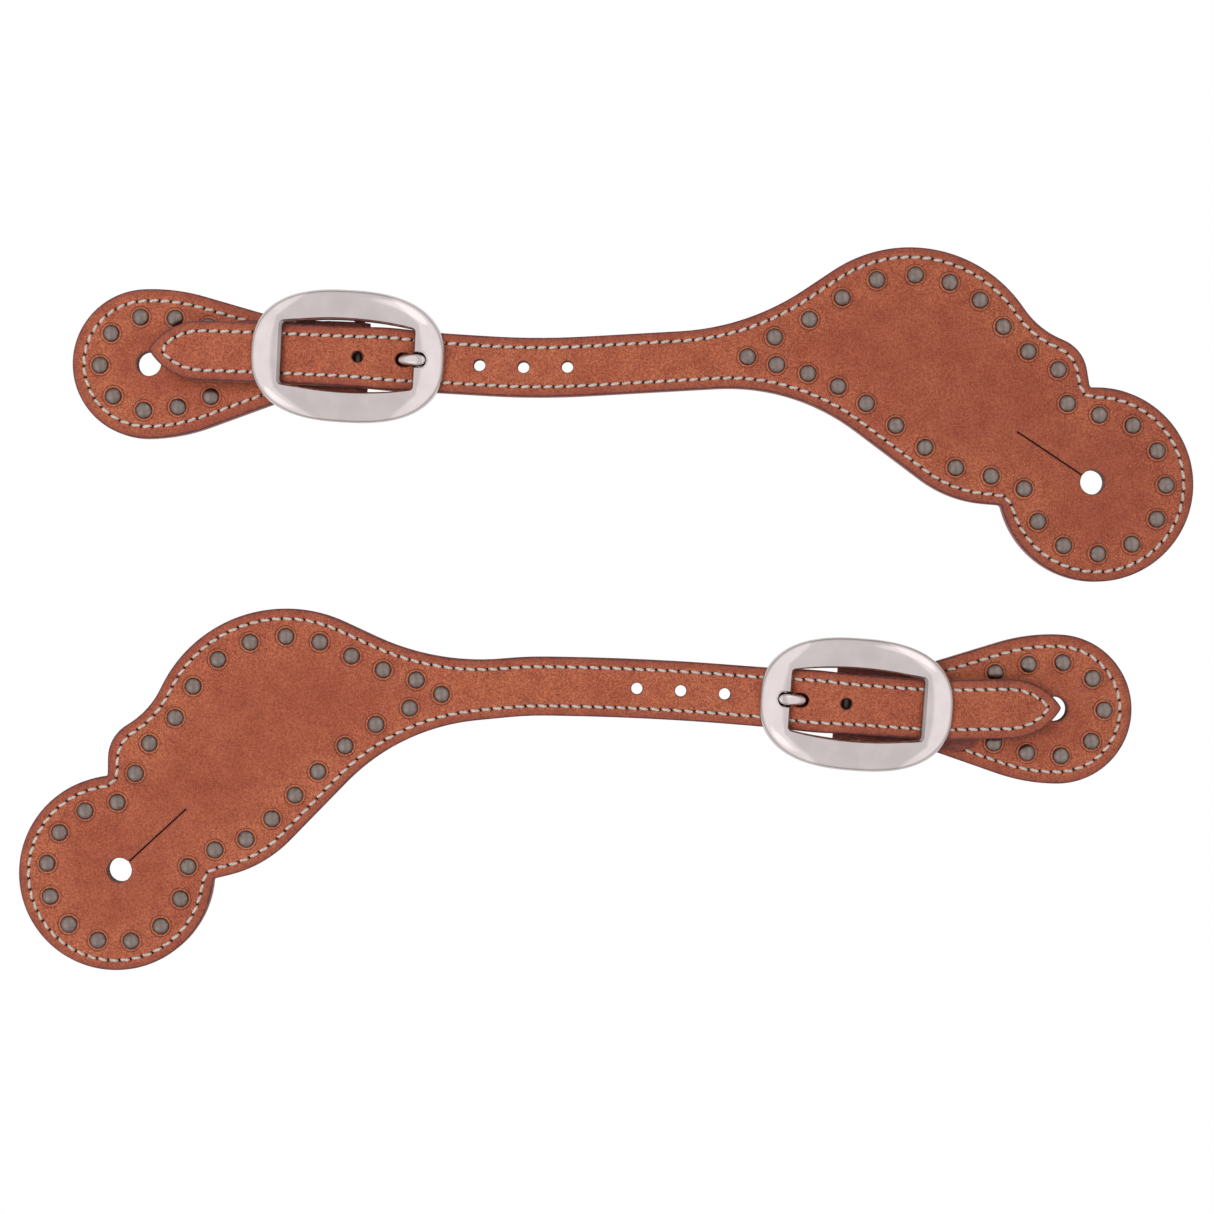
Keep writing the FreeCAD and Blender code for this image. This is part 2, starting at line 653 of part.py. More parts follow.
def buckle_frame():
    plate = prism(oval_face()).common(frame_layer(0, FRAME_THICKNESS))
    plate = plate.cut(prism(window_face())).cut(notch())
    leg_outer = LEG_INNER + BAR_LEG
    bar = along_bar(BAR_R, leg_outer)
    top = FRAME_LIFT + FRAME_ARCH + FRAME_THICKNESS / 2
    for sign in (1, -1):
        sides = sorted((sign * LEG_INNER, sign * leg_outer))
        leg = box((BAR_X - BAR_R, sides[0], BAR_HEIGHT), (BAR_X + BAR_R, sides[1], top))
        bar = bar.fuse(leg)
    return plate.fuse(bar)


# ---- leather -------------------------------------------------------------------------------------
def strap_cuts(strap, seam, studs):
    flare_hole = button_hole(FLARE_HOLE[0], FLARE_HOLE[1], SLIT_LENGTH, SLIT_DIRECTION)
    cuts = [seam, studs, to_strap(strap, flare_hole), tongue_slot()]
    for station in SPARE_HOLES:
        x, y, _ = centreline(strap, station)
        cuts.append(post(x, y, BILLET_HOLE_R))
    return cuts


def strap_ply(strap, low, high, cuts):
    ply = strap_prism(strap).common(strap_layer(low, high))
    return split_at_neck(strap, ply.cut(cuts))


def tab_cuts(strap, seam, studs):
    hole = button_hole(TAB_HOLE, 0, TAB_SLIT_LENGTH, 0)
    return [seam, studs, chape_rivets(), lean(hole, strap["tab_turn"])]


def chape_plan(face):
    """The leaning leather up to its pivot, and the straight part that goes on round the bar."""
    leaning = prism(face).common(box((-REACH, -REACH, -REACH), (TAB_PIVOT, REACH, REACH)))
    straight = box((TAB_PIVOT, -CHAPE_HALF_WIDTH, -REACH),
                   (BAR_X + BAR_R + 2 * CHAPE_PLY, CHAPE_HALF_WIDTH, REACH))
    return leaning.fuse(straight)


def tab_outer(strap, cuts):
    """The tab's top ply: under the bar, round it, and back on top of the tab."""
    under = chape_plan(tab_face(strap)).common(chape_layer(False))
    over = chape_plan(flap_face(strap)).common(chape_layer(True))
    start, half_width = CHAPE_SLOT
    slot = box((start, -half_width, -REACH), (REACH, half_width, REACH))
    return under.fuse(over).cut(slot).cut(cuts)


def tab_lining(strap, cuts):
    layer = box((-REACH, -REACH, 0), (CHAPE_SETTLE, REACH, LINING_PLY))
    return prism(tab_face(strap)).common(layer).cut(cuts)


def chape_rivets():
    """Two flat-headed rivets that hold the fold shut, sunk flush into both faces."""
    top = LEATHER + PLAY + CHAPE_PLY
    rivets = []
    for y in (RIVET_Y, -RIVET_Y):
        rivet = post(RIVET_X, y, RIVET_POST_R, 0, top)
        rivet = rivet.fuse(post(RIVET_X, y, RIVET_HEAD_R, 0, RIVET_HEAD))
        rivets.append(rivet.fuse(post(RIVET_X, y, RIVET_HEAD_R, top - RIVET_HEAD, top)))
    return Part.makeCompound(rivets)


# ---- the pair ------------------------------------------------------------------------------------
def strap_pieces(strap):
    """Every piece of one strap, in the strap's own frame."""
    seam = strap_seam(strap)
    studs = flare_studs(strap)
    cuts = strap_cuts(strap, seam, studs)
    outer_billet, outer_flare = strap_ply(strap, LINING_PLY, LEATHER, cuts)
    lining_billet, lining_flare = strap_ply(strap, 0, LINING_PLY, cuts)
    seam_billet, seam_flare = split_at_neck(strap, seam)
    seam_of_tab = tab_seam(strap)
    studs_of_tab = tab_studs(strap)
    cuts_of_tab = tab_cuts(strap, seam_of_tab, studs_of_tab)
    return {
        "billet_outer": outer_billet,
        "flare_outer": outer_flare,
        "billet_lining": lining_billet,
        "flare_lining": lining_flare,
        "billet_seam": seam_billet,
        "flare_seam": seam_flare,
        "flare_studs": studs,
        "buckle_frame": buckle_frame(),
        "buckle_tongue": tongue(),
        "tab_outer": tab_outer(strap, cuts_of_tab),
        "tab_lining": tab_lining(strap, cuts_of_tab),
        "tab_seam": seam_of_tab,
        "tab_studs": studs_of_tab,
        "chape_rivets": chape_rivets(),
    }


def lay_down(strap, shape):
    """Turns and moves a piece from its strap's frame to its place in the pair."""
    laid = shape.copy()
    laid.rotate(V(0, 0, 0), UP, strap["heading"])
    laid.translate(flat(*strap["place"]))
    if strap["mirrored"]:
        laid = laid.mirror(V(0, 0, 0), V(1, 0, 0))
    return laid


os.makedirs("parts", exist_ok=True)
for side, strap in STRAPS.items():
    for name, piece in strap_pieces(strap).items():
        lay_down(strap, piece).exportStep(f"parts/{side}_{name}.step")
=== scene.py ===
import json
import math
import random

import bpy
import numpy as np
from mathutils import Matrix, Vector, geometry, kdtree

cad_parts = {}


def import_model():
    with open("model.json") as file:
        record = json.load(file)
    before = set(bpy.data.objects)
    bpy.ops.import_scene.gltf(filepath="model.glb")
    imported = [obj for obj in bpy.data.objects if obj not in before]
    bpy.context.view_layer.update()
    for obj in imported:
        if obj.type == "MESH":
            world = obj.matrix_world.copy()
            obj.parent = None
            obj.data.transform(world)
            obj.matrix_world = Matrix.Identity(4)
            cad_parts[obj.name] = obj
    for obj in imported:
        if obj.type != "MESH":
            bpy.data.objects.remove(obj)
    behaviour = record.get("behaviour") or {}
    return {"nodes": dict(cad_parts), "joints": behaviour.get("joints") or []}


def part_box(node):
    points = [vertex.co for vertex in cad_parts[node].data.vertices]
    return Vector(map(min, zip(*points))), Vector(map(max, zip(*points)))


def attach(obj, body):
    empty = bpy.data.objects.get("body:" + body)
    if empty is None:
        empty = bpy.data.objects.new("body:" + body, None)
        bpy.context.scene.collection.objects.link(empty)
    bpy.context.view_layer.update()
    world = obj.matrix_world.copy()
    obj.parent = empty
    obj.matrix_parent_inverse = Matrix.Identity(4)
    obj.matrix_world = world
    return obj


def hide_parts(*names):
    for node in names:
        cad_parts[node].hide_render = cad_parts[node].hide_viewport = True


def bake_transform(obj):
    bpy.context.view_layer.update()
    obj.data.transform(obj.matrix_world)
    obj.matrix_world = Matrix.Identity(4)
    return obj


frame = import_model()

# A pair of buckled western spur straps.  Leather, thread, studs and buckles are rebuilt in fine
# detail around the CAD nodes.  Each strap is worked on in its own frame, in millimetres: origin on
# the table under the buckle's bar, +X along the billet towards the flare.

random.seed(5)
MM = 0.001
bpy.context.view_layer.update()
NODES = frame["nodes"]
JOINTS = {joint["name"]: joint for joint in frame["joints"]}

LEATHER = 4.4              # two plies
LINING = 1.8
SPARE_HOLE_AREA = 8.0      # a spare hole's loop is larger than this
BUTTON_HOLE_AREA = 30.0    # and a button hole's is larger than this
STRAP_SEAM = 3.2           # seam to the long strap's edge, and to the tab's
TAB_SEAM = 3.8
STITCH_PITCH = 3.63        # 7 stitches to the inch
FLEX_HALF = 20.0           # each side of the neck's joint: the length a bend would span; only an unused reach is worked out from it
BAR_X = 2.5                # the buckle's bar: middle, radius, and height above the table
BAR_R = 1.75
BAR_HEIGHT = 3.7
INSET_SLACK = 0.02         # how much nearer to an outline than wanted an inset point may come
JOINT_GAP = 0.8            # outlines nearer than this face each other across the neck's joint


# ---- strap frames ----
class StrapFrame:
    """Where one strap lies: turns millimetres in its own frame into metres in the row frame."""

    def __init__(self, side):
        joint = JOINTS[f"{side}_tab_swing"]
        axis = joint["axis"]
        self.side = side
        self.mirrored = side == "left"
        along = np.array([-axis[1], axis[0]])
        self.origin = np.array(joint["pos_m"][:2]) / MM - along * BAR_X
        across = np.array([-along[1], along[0]])
        if self.mirrored:
            across = -across
        self.turn = np.array([along, across])

    def to_local(self, points):
        """Row-frame metres to strap millimetres."""
        points = np.asarray(points, float) / MM
        flat = (points[:, :2] - self.origin) @ self.turn.T
        return np.column_stack([flat, points[:, 2]])

    def to_row(self, points):
        points = np.asarray(points, float)
        flat = points[:, :2] @ self.turn + self.origin
        return np.column_stack([flat, points[:, 2]]) * MM


# ---- meshes ----
def in_scene(name, data):
    thing = bpy.data.objects.new(name, data)
    bpy.context.scene.collection.objects.link(thing)
    return thing


def new_object(name, strap, points, faces, material, attributes=None):
    """A mesh object from points in a strap's frame; the points are kept for its material."""
    points = np.asarray(points, float)
    if strap.mirrored:
        faces = [tuple(reversed(face)) for face in faces]
    mesh = bpy.data.meshes.new(name)
    mesh.from_pydata(strap.to_row(points).tolist(), [], [tuple(map(int, face)) for face in faces])
    mesh.materials.append(material)
    mesh.polygons.foreach_set("use_smooth", [True] * len(mesh.polygons))
    flat = mesh.attributes.new("flat", "FLOAT_VECTOR", "POINT")
    flat.data.foreach_set("vector", points.astype(np.float32).ravel())
    for key, values in (attributes or {}).items():
        layer = mesh.attributes.new(key, "FLOAT", "POINT")
        layer.data.foreach_set("value", np.asarray(values, np.float32))
    mesh.validate()
    return in_scene(name, mesh)


def grid_faces(rows, columns, close_rows=False):
    """Quads between closed rows of points; point (row, column) is row * columns + column."""
    faces = []
    for row in range(rows if close_rows else rows - 1):
        here = row * columns
        after = (row + 1) % rows * columns
        for column in range(columns):
            onward = (column + 1) % columns
            faces.append((here + column, here + onward, after + onward, after + column))
    return faces


class Shell:
    """Collects points and faces of several closed bodies for one object."""

    def __init__(self):
        self.points = []
        self.faces = []

    def add(self, points, faces):
        start = len(self.points)
        self.points.extend(tuple(point) for point in points)
        self.faces.extend(tuple(index + start for index in face) for face in faces)

    def tube(self, rings, hubs=None):
        """A skin over rings of equal point count; fans round two hub points close its ends."""
        count = len(rings[0])
        points = [point for ring in rings for point in ring]
        faces = grid_faces(len(rings), count)
        for number, at in enumerate((0, len(points) - count)):
            points.append(hubs[number] if hubs else np.mean(points[at:at + count], axis=0))
            for column in range(count):
                pair = (at + (column + 1) % count, at + column)
                faces.append((len(points) - 1, *(pair[::-1] if number else pair)))
        self.add(points, faces)


# ---- outlines read from the CAD ----
def upward_loops(node, strap):
    """Border loops of a node's upward faces, in the strap's frame, as arrays of (x, y)."""
    mesh = NODES[node].data
    mesh.calc_loop_triangles()
    points = strap.to_local([vertex.co for vertex in mesh.vertices])
    keys = {}
    merged = [keys.setdefault(tuple(np.round(point, 3)), index) for index, point in enumerate(points)]
    edges = set()
    for triangle in mesh.loop_triangles:
        if triangle.normal.z < 0.5:
            continue
        corners = [merged[index] for index in triangle.vertices]
        for first, second in zip(corners, corners[1:] + corners[:1]):
            if (second, first) in edges:
                edges.remove((second, first))
            elif first != second:
                edges.add((first, second))
    following = {}
    for first, second in edges:
        following.setdefault(first, []).append(second)
    loops = []
    while following:
        first = min(following)
        loop = [first]
        here = first
        while here in following:
            onward = following[here].pop()
            if not following[here]:
                del following[here]
            if onward == first:
                break
            loop.append(onward)
            here = onward
        loops.append(points[loop][:, :2])
    return loops


def area(loop):
    x, y = loop[:, 0], loop[:, 1]
    return 0.5 * float(np.sum(x * np.roll(y, -1) - np.roll(x, -1) * y))


def counter_clockwise(loop):
    return loop if area(loop) > 0 else loop[::-1]


def lengths(loop):
    return np.linalg.norm(np.roll(loop, -1, axis=0) - loop, axis=1)


def resampled(loop, step):
    """The closed loop as evenly spaced points."""
    closed = np.vstack([loop, loop[:1]])
    travelled = np.concatenate([[0], np.cumsum(lengths(loop))])
    count = max(8, int(round(travelled[-1] / step)))
    stops = np.linspace(0, travelled[-1], count, endpoint=False)
    return np.column_stack([np.interp(stops, travelled, closed[:, axis]) for axis in (0, 1)])


def smoothed(loop, sigma):
    """The closed loop after a Gaussian blur along its length; sigma counts points."""
    reach = int(3 * sigma) + 1
    offsets = range(-reach, reach + 1)
    weights = [math.exp(-0.5 * (offset / sigma) ** 2) for offset in offsets]
    blurred = sum(weight * np.roll(loop, offset, axis=0) for weight, offset in zip(weights, offsets))
    return blurred / sum(weights)


def inward_normals(loop):
    """Unit normals to the left of the loop, which is inwards when it runs counter-clockwise."""
    tangent = np.roll(loop, -1, axis=0) - np.roll(loop, 1, axis=0)
    tangent /= np.linalg.norm(tangent, axis=1)[:, None]
    return np.column_stack([-tangent[:, 1], tangent[:, 0]])


def tree_of(points):
    tree = kdtree.KDTree(len(points))
    for index, point in enumerate(points):
        tree.insert((point[0], point[1], 0), index)
    tree.balance()
    return tree


def distances(tree, points):
    return np.array([tree.find((point[0], point[1], 0))[2] for point in points])


def inset(loop, depth, tree):
    """The loop moved inwards, without the points that a tight corner folds over."""
    moved = loop + inward_normals(loop) * depth
    return moved[distances(tree, moved) > 0.99 * depth - INSET_SLACK]


def joined(first, second):
    """Two outlines that face each other across the neck's joint, as one outline."""
    opened = []
    for loop, other in ((first, second), (second, first)):
        near = distances(tree_of(other), loop) < JOINT_GAP
        sides = lengths(loop)
        cut = max((sides[index], index) for index in range(len(loop))
                  if near[index] and near[(index + 1) % len(loop)])[1]
        opened.append(np.roll(loop, -(cut + 1), axis=0))
    return np.vstack(opened)


def inside(loop, points):
    """Whether each point is inside the loop."""
    x, y = points[:, 0], points[:, 1]
    result = np.zeros(len(points), bool)
    for (x1, y1), (x2, y2) in zip(loop, np.roll(loop, -1, axis=0)):
        crosses = (y1 > y) != (y2 > y)
        if crosses.any():
            at = x1 + (y[crosses] - y1) * (x2 - x1) / (y2 - y1)
            result[crosses] ^= x[crosses] < at
    return result


def stud_centres(node, strap):
    """Where a node's domes have their tops."""
    points = strap.to_local([vertex.co for vertex in NODES[node].data.vertices])
    tops = points[points[:, 2] > points[:, 2].max() - 0.002]
    centres = []
    for x, y, _ in tops:
        if all(math.hypot(x - cx, y - cy) > 1 for cx, cy in centres):
            centres.append((x, y))
    return np.array(centres)


# ---- leather panels ----
EDGE_ROUNDING = 1.25       # how far in from the edge the grain side starts to turn over
EDGE_DROP = 0.75
UNDER_ROUNDING = 0.8       # and the flesh side
UNDER_DROP = 0.35
RIM_ROUNDING = 0.7         # and the rims of the holes
RIM_DROP = 0.3
RING_RADIUS = 3.4          # ring pressed into the leather round a stud
RING_DROP = 0.3
# Rows of mesh points beside the features: from the edge, the seam, a hole's rim, a stud's centre
EDGE_ROWS = (0.05, 0.14, 0.28, 0.46, 0.7, 0.98, 1.3)
SEAM_ROWS = (-0.8, -0.5, -0.25, 0.25, 0.5, 0.8)
HOLE_ROWS = (0.06, 0.16, 0.32, 0.55, 0.85)
STUD_ROWS = (2.6, 2.85, 3.05, 3.22, 3.4, 3.58, 3.8, 4.2)
NEEDLE_ROWS = ((0.3, 6, 0.0), (0.46, 8, 0.0), (0.6, 8, 0.4), (0.8, 8, 0.0))    # radius, points, turn
GRID_STEP = 1.7            # the open ground between the rows
GRID_TO_EDGE = 1.8
GRID_TO_ROWS = 0.75
LEAST_GAP = 0.03           # between a loose point and an outline
# Cut edge of the leather from grain side to flesh side: inset, height below the grain side
WALL = ((0.0, 1.05), (0.0, 1.5), (0.0, 2.0), (0.02, 2.35), (0.12, 2.52), (0.22, 2.6),
        (0.12, 2.68), (0.02, 2.85), (0.0, 3.2), (0.0, 3.6), (0.04, 3.9))
PLY_LINE = LEATHER - LINING      # where the two plies meet, below the grain side
SLIT_WIDTH = 0.7           # a loop's sides nearer than this are the sides of a knife slit


def turnover(distance, rounding, drop):
    """How far the surface has dropped at a distance from an edge: a rounded corner."""
    share = np.clip(1 - distance / rounding, 0, 1)
    return drop * (1 - np.sqrt(np.clip(1 - share ** 2, 0, 1)))


def clamped(value):
    return min(max(value, 0), 1)


def bell(distance, width, power=2):
    return np.exp(-(distance / width) ** power)


def ring(centre, radius, count, stretch=1.0, heading=0.0, phase=0.0):
    angle = np.linspace(0, 2 * math.pi, count, endpoint=False) + phase
    x = radius * stretch * np.cos(angle)
    y = radius * np.sin(angle)
    return np.column_stack([centre[0] + x * math.cos(heading) - y * math.sin(heading),
                            centre[1] + x * math.sin(heading) + y * math.cos(heading)])


def seam_path(outline, tree, depth, limit=None):
    """Evenly spaced needle holes along the seam; with a limit it is open and stays below that x."""
    line = inset(outline, depth, tree)
    if limit is None:
        line = np.vstack([line, line[:1]])
    else:
        kept = line[:, 0] < limit
        line = np.roll(line, -int(np.argmax(~kept & np.roll(kept, 1))), axis=0)
        line = line[line[:, 0] < limit]
    travelled = np.concatenate([[0], np.cumsum(np.linalg.norm(np.diff(line, axis=0), axis=1))])
    count = int(round(travelled[-1] / STITCH_PITCH))
    stops = np.linspace(0, travelled[-1], count + 1)
    if limit is None:
        stops = stops[:-1]
    return np.column_stack([np.interp(stops, travelled, line[:, axis]) for axis in (0, 1)])


def closing_of(loop):
    """Moves that bring the two sides of a knife slit together below the surface."""
    apart = np.linalg.norm(loop[:, None] - loop[None], axis=2)
    index = np.arange(len(loop))
    steps = np.abs(index[:, None] - index[None])
    apart[np.minimum(steps, len(loop) - steps) < 5] = np.inf
    partner = apart.argmin(axis=1)
    narrow = apart[index, partner] < SLIT_WIDTH
    return np.where(narrow[:, None], (loop[partner] - loop) * 0.46, 0.0)


class Panel:
    """A flat leather piece of two plies, with rounded edges, needle holes and pressed rings."""

    def __init__(self, outline, holes, studs, seam, needles):
        self.outline = outline
        self.loops = [outline] + holes
        self.tree = tree_of(resampled(outline, 0.1))
        self.hole_trees = [tree_of(resampled(hole, 0.08)) for hole in holes]
        self.studs = studs
        self.seam = seam
        self.needles = needles
        self.triangulate()

    def feature_points(self):
        rows = [inset(self.outline, depth, self.tree) for depth in EDGE_ROWS]
        rows += [inset(self.outline, self.seam + off, self.tree)[::2] for off in SEAM_ROWS]
        for hole, tree in zip(self.loops[1:], self.hole_trees):
            rows += [inset(hole[::-1], depth, tree) for depth in HOLE_ROWS]
        for centre in self.studs:
            rows += [ring(centre, radius, 26) for radius in STUD_ROWS]
        for centre in self.needles:
            rows.append(centre[None, :])
            rows += [ring(centre, radius, count, phase=turn) for radius, count, turn in NEEDLE_ROWS]
        return np.vstack(rows)

    def open_ground(self, features):
        """A triangular grid of points, clear of the edge and of the features."""
        low = self.outline.min(axis=0)
        high = self.outline.max(axis=0)
        grid = []
        for row, y in enumerate(np.arange(low[1], high[1], GRID_STEP * 0.866)):
            for x in np.arange(low[0] + (row % 2) * GRID_STEP / 2, high[0], GRID_STEP):
                grid.append((x, y))
        grid = np.array(grid)
        grid = grid[inside(self.outline, grid) & (distances(self.tree, grid) > GRID_TO_EDGE)]
        return grid[distances(tree_of(features), grid) > GRID_TO_ROWS]

    def triangulate(self):
        features = self.feature_points()
        inner = np.vstack([features, self.open_ground(features)])
        inner = inner[inside(self.outline, inner)]
        inner = inner[distances(self.tree, inner) > LEAST_GAP]
        for hole, tree in zip(self.loops[1:], self.hole_trees):
            inner = inner[~inside(hole, inner) & (distances(tree, inner) > LEAST_GAP)]
        borders = []
        edges = []
        start = 0
        for loop in self.loops:
            border = list(range(start, start + len(loop)))
            borders.append(border)
            edges += zip(border, border[1:] + border[:1])
            start += len(loop)
        points = [Vector(point) for point in np.vstack(self.loops + [inner])]
        placed, _, triangles, sources = geometry.delaunay_2d_cdt(points, edges, [], 0, 1e-6)[:4]
        index_of = {group[0]: index for index, group in enumerate(sources) if group}
        self.borders = [[index_of[source] for source in border] for border in borders]
        self.points = np.array([tuple(point) for point in placed])
        triangles = np.array(triangles)
        centres = self.points[triangles].mean(axis=1)
        keep = inside(self.outline, centres)
        for hole in self.loops[1:]:
            keep &= ~inside(hole, centres)
        self.triangles = triangles[keep]

    def relief(self, rounding, drop, rings):
        """Drop of the surface below its flat level at every point, and its mark: darker rims, painted
        shade and a painted highlight.
        """
        points = self.points
        fall = turnover(self.edge, rounding, drop)
        fall += 0.16 * bell(self.edge - self.seam, 0.42)
        mark = np.zeros(len(points))
        for tree in self.hole_trees:
            near = distances(tree, points)
            fall += turnover(near, RIM_ROUNDING, RIM_DROP)
            # darker along the holes' rims
            mark = np.maximum(mark, 0.5 * bell(near, 0.4))
        # painted shade: the needle holes become dark dots
        needle = bell(distances(tree_of(self.needles), points), 0.5, 4)
        fall += 0.9 * needle
        mark = np.maximum(mark, 1.1 * needle)
        if rings:
            near = distances(tree_of(self.studs), points)
            fall += RING_DROP * bell(near - RING_RADIUS, 0.2) + 0.14 * np.clip(3.3 - near, 0, 1)
            # painted shade in the groove of the pressed ring
            mark = np.maximum(mark, 0.62 * bell(near - RING_RADIUS - 0.05, 0.26))
            # painted shade where the stud's rim meets the leather
            mark = np.maximum(mark, 0.8 * np.clip((2.95 - near) / 0.3, 0, 1))
            # painted highlight: a lighter, sheen-like band between the stud and its ring
            mark -= 0.8 * bell(near - 3.1, 0.14) * (near > 2.9)
        return fall, mark

    def build(self, name, strap, material, lift, shear=None):
        """The closed leather body; lift gives the height of its underside at each place."""
        self.edge = distances(self.tree, self.points)
        top_fall, top_mark = self.relief(EDGE_ROUNDING, EDGE_DROP, True)
        low_fall, low_mark = self.relief(UNDER_ROUNDING, UNDER_DROP, False)
        count = len(self.points)
        low_points = self.points.copy()
        if shear is not None:
            low_points[:, 0] += shear(self.points)
        # Columns: x, y, height, distance to the edge, mark, ply
        parts = [np.column_stack([self.points, LEATHER - top_fall, self.edge, top_mark,
                                  np.zeros(count)]),
                 np.column_stack([low_points, low_fall, self.edge, low_mark, np.ones(count)])]
        faces = [tuple(triangle) for triangle in self.triangles]
        faces += [(c + count, b + count, a + count) for a, b, c in self.triangles]
        total = 2 * count
        for number, (loop, border) in enumerate(zip(self.loops, self.borders)):
            is_hole = number > 0
            normals = inward_normals(loop) * (0.4 if is_hole else 1.0)
            closing = closing_of(loop) if is_hole else 0.0
            low_shift = low_points[border, 0] - self.points[border, 0]
            rows = [border]
            for depth, below in WALL:
                row = loop + normals * depth + closing
                row[:, 0] += low_shift * below / LEATHER
                # painted shade on the walls inside the holes; the dark line where the two plies meet
                # is a real joint
                mark = (0.5 if is_hole else 0.0) + 0.6 * bell(below - PLY_LINE, 0.12)
                ply = clamped((below - PLY_LINE + 0.1) / 0.2)
                alike = np.tile((LEATHER - below, 0.0, mark, ply), (len(loop), 1))
                parts.append(np.hstack([row, alike]))
                rows.append(list(range(total, total + len(loop))))
                total += len(loop)
            rows.append([index + count for index in border])
            for upper, lower in zip(rows, rows[1:]):
                for index in range(len(loop)):
                    onward = (index + 1) % len(loop)
                    faces.append((upper[index], lower[index], lower[onward], upper[onward]))
        parts = np.vstack(parts)
        parts[:, 2] += lift(parts[:, 0])
        attributes = {"edge": parts[:, 3], "mark": np.clip(parts[:, 4], -1, 1), "ply": parts[:, 5]}
        return new_object(name, strap, parts[:, :3], faces, material, attributes)


# ---- thread ----
TOP_RUN = (LEATHER - 0.66, 0.64)       # height of a stitch's ends, and its rise between them
LOW_RUN = (0.85, -0.35)
STITCH_SLANT = 0.22
STITCH_RINGS = 11
STITCH_SIDES = 10


def stitch(shell, start, end, height, rise, lift):
    """One stitch: a twisted two-strand thread that dives into its needle holes."""
    span = end - start
    along = span / np.linalg.norm(span)
    across = np.array([-along[1], along[0]])
    rings = []
    for share in np.linspace(0, 1, STITCH_RINGS):
        place = start + span * (0.08 + 0.84 * share) + across * STITCH_SLANT * (2 * share - 1)
        bulge = math.sin(math.pi * share) ** 0.4
        radius = 0.16 + 0.28 * bulge
        corners = []
        for angle in np.linspace(0, 2 * math.pi, STITCH_SIDES, endpoint=False):
            strand = radius * (1 + 0.2 * math.cos(2 * (angle - 2.9 * share * math.pi)))
            x, y = place + across * strand * math.cos(angle) * 1.12
            z = height + rise * bulge + strand * math.sin(angle)
            corners.append((x, y, z + lift(x)))
        rings.append(corners)
    shell.tube(rings)


def stitching(name, strap, path, closed, lift, material):
    shell = Shell()
    pairs = list(zip(path, np.roll(path, -1, axis=0)))
    for start, end in pairs if closed else pairs[:-1]:
        stitch(shell, start, end, *TOP_RUN, lift)
        stitch(shell, end, start, *LOW_RUN, lift)
    return new_object(name, strap, shell.points, shell.faces, material)


# ---- studs ----
STUD_BASE = LEATHER - 0.1
STUD_FOOT = -0.25
STUD_TOP = 1.5
STUD_PROFILE = ((2.6, STUD_FOOT), (2.68, 0.0), (2.7, 0.22), (2.62, 0.44), (2.42, 0.68),
                (2.08, 0.92), (1.65, 1.14), (1.15, 1.31), (0.65, 1.43), (0.25, 1.49))
STUD_SIDES = 30


def studs(name, strap, centres, material):
    """Domed spots with a low rolled rim, each one very slightly uneven."""
    shell = Shell()
    for x, y in centres:
        squash = random.uniform(0.96, 1.03)
        turn = random.uniform(0, math.pi)
        rings = []
        for radius, height in STUD_PROFILE:
            level = np.full(STUD_SIDES, STUD_BASE + height)
            rings.append(np.column_stack([ring((x, y), radius, STUD_SIDES, squash, turn), level]))
        shell.tube(rings, [(x, y, STUD_BASE + STUD_FOOT), (x, y, STUD_BASE + STUD_TOP)])
    return new_object(name, strap, shell.points, shell.faces, material)


# ---- buckle ----
BUCKLE_HALF = (30.7, 21.1)
BUCKLE_ROUNDNESS = 2.5
WINDOW_HALF = (20.9, 9.6)
WINDOW_BOW = 1.8
WINDOW_CORNER = 1.0
FRAME_LIFT = 9.35
FRAME_SLOPE = 0.066
FRAME_ARCH = 1.2
FRAME_STATIONS = 460
# Section of the frame from its outer edge to the crest of the bevel: share of that width, height
FRAME_FACE = ((0.04, 0.0), (0.0, 0.22), (-0.01, 0.6), (0.0, 1.0), (0.035, 1.45), (0.1, 1.9),
              (0.2, 2.32), (0.33, 2.68), (0.48, 2.93), (0.64, 3.08), (0.8, 3.16), (0.93, 3.19),
              (0.98, 3.18), (1.0, 3.14))
# From the crest down the bevel and the window's wall: share of the bevel's width, height
FRAME_BEVEL = ((0.1, 3.06), (0.5, 2.72), (0.88, 2.4), (0.98, 2.24), (1.0, 2.0), (1.0, 1.4),
               (1.0, 0.6), (0.95, 0.15), (0.6, -0.02))
FRAME_UNDER = ((0.6, -0.05), (0.3, -0.05))       # share of the whole width, height
# Shade of the last two rows of the face, then of the bevel, the wall and the underside, which all
# face dark leather
FRAME_SHADE = (0.15, 0.45, 0.6, 0.5, 0.35, 0.3, 0.8, 0.8, 0.8, 0.8, 0.8, 0.8, 0.8)
BEVEL_WIDTH = 0.6
BEVEL_EXTRA = 0.5          # the bevel is wider on the tab's side
NOTCH_R = 2.6              # scoop in the rim for the tongue's tip
NOTCH_START = 15.0
NOTCH_END = 22.8
NOTCH_AXIS = 11.9
BAR_LEG = 13.4             # from the middle of the bar to the legs that hang it
TONGUE_LINE = ((3.5, 3.9), (7.5, 3.9), (11.5, 5.0), (16.0, 8.0), (20.0, 10.35), (25.0, 11.15))
TONGUE_POINT = 3.4         # length of its bullet nose
# Half the section of the eye round the bar: along the bar, distance from the bar's middle
EYE_SECTION = ((2.4, 1.85), (2.5, 2.1), (2.5, 3.0), (2.3, 3.4), (1.6, 3.5), (0, 3.5))


def powered(values, power):
    """The values raised to a power, with their signs kept: turns an ellipse into a squarer one."""
    return np.sign(values) * np.abs(values) ** power


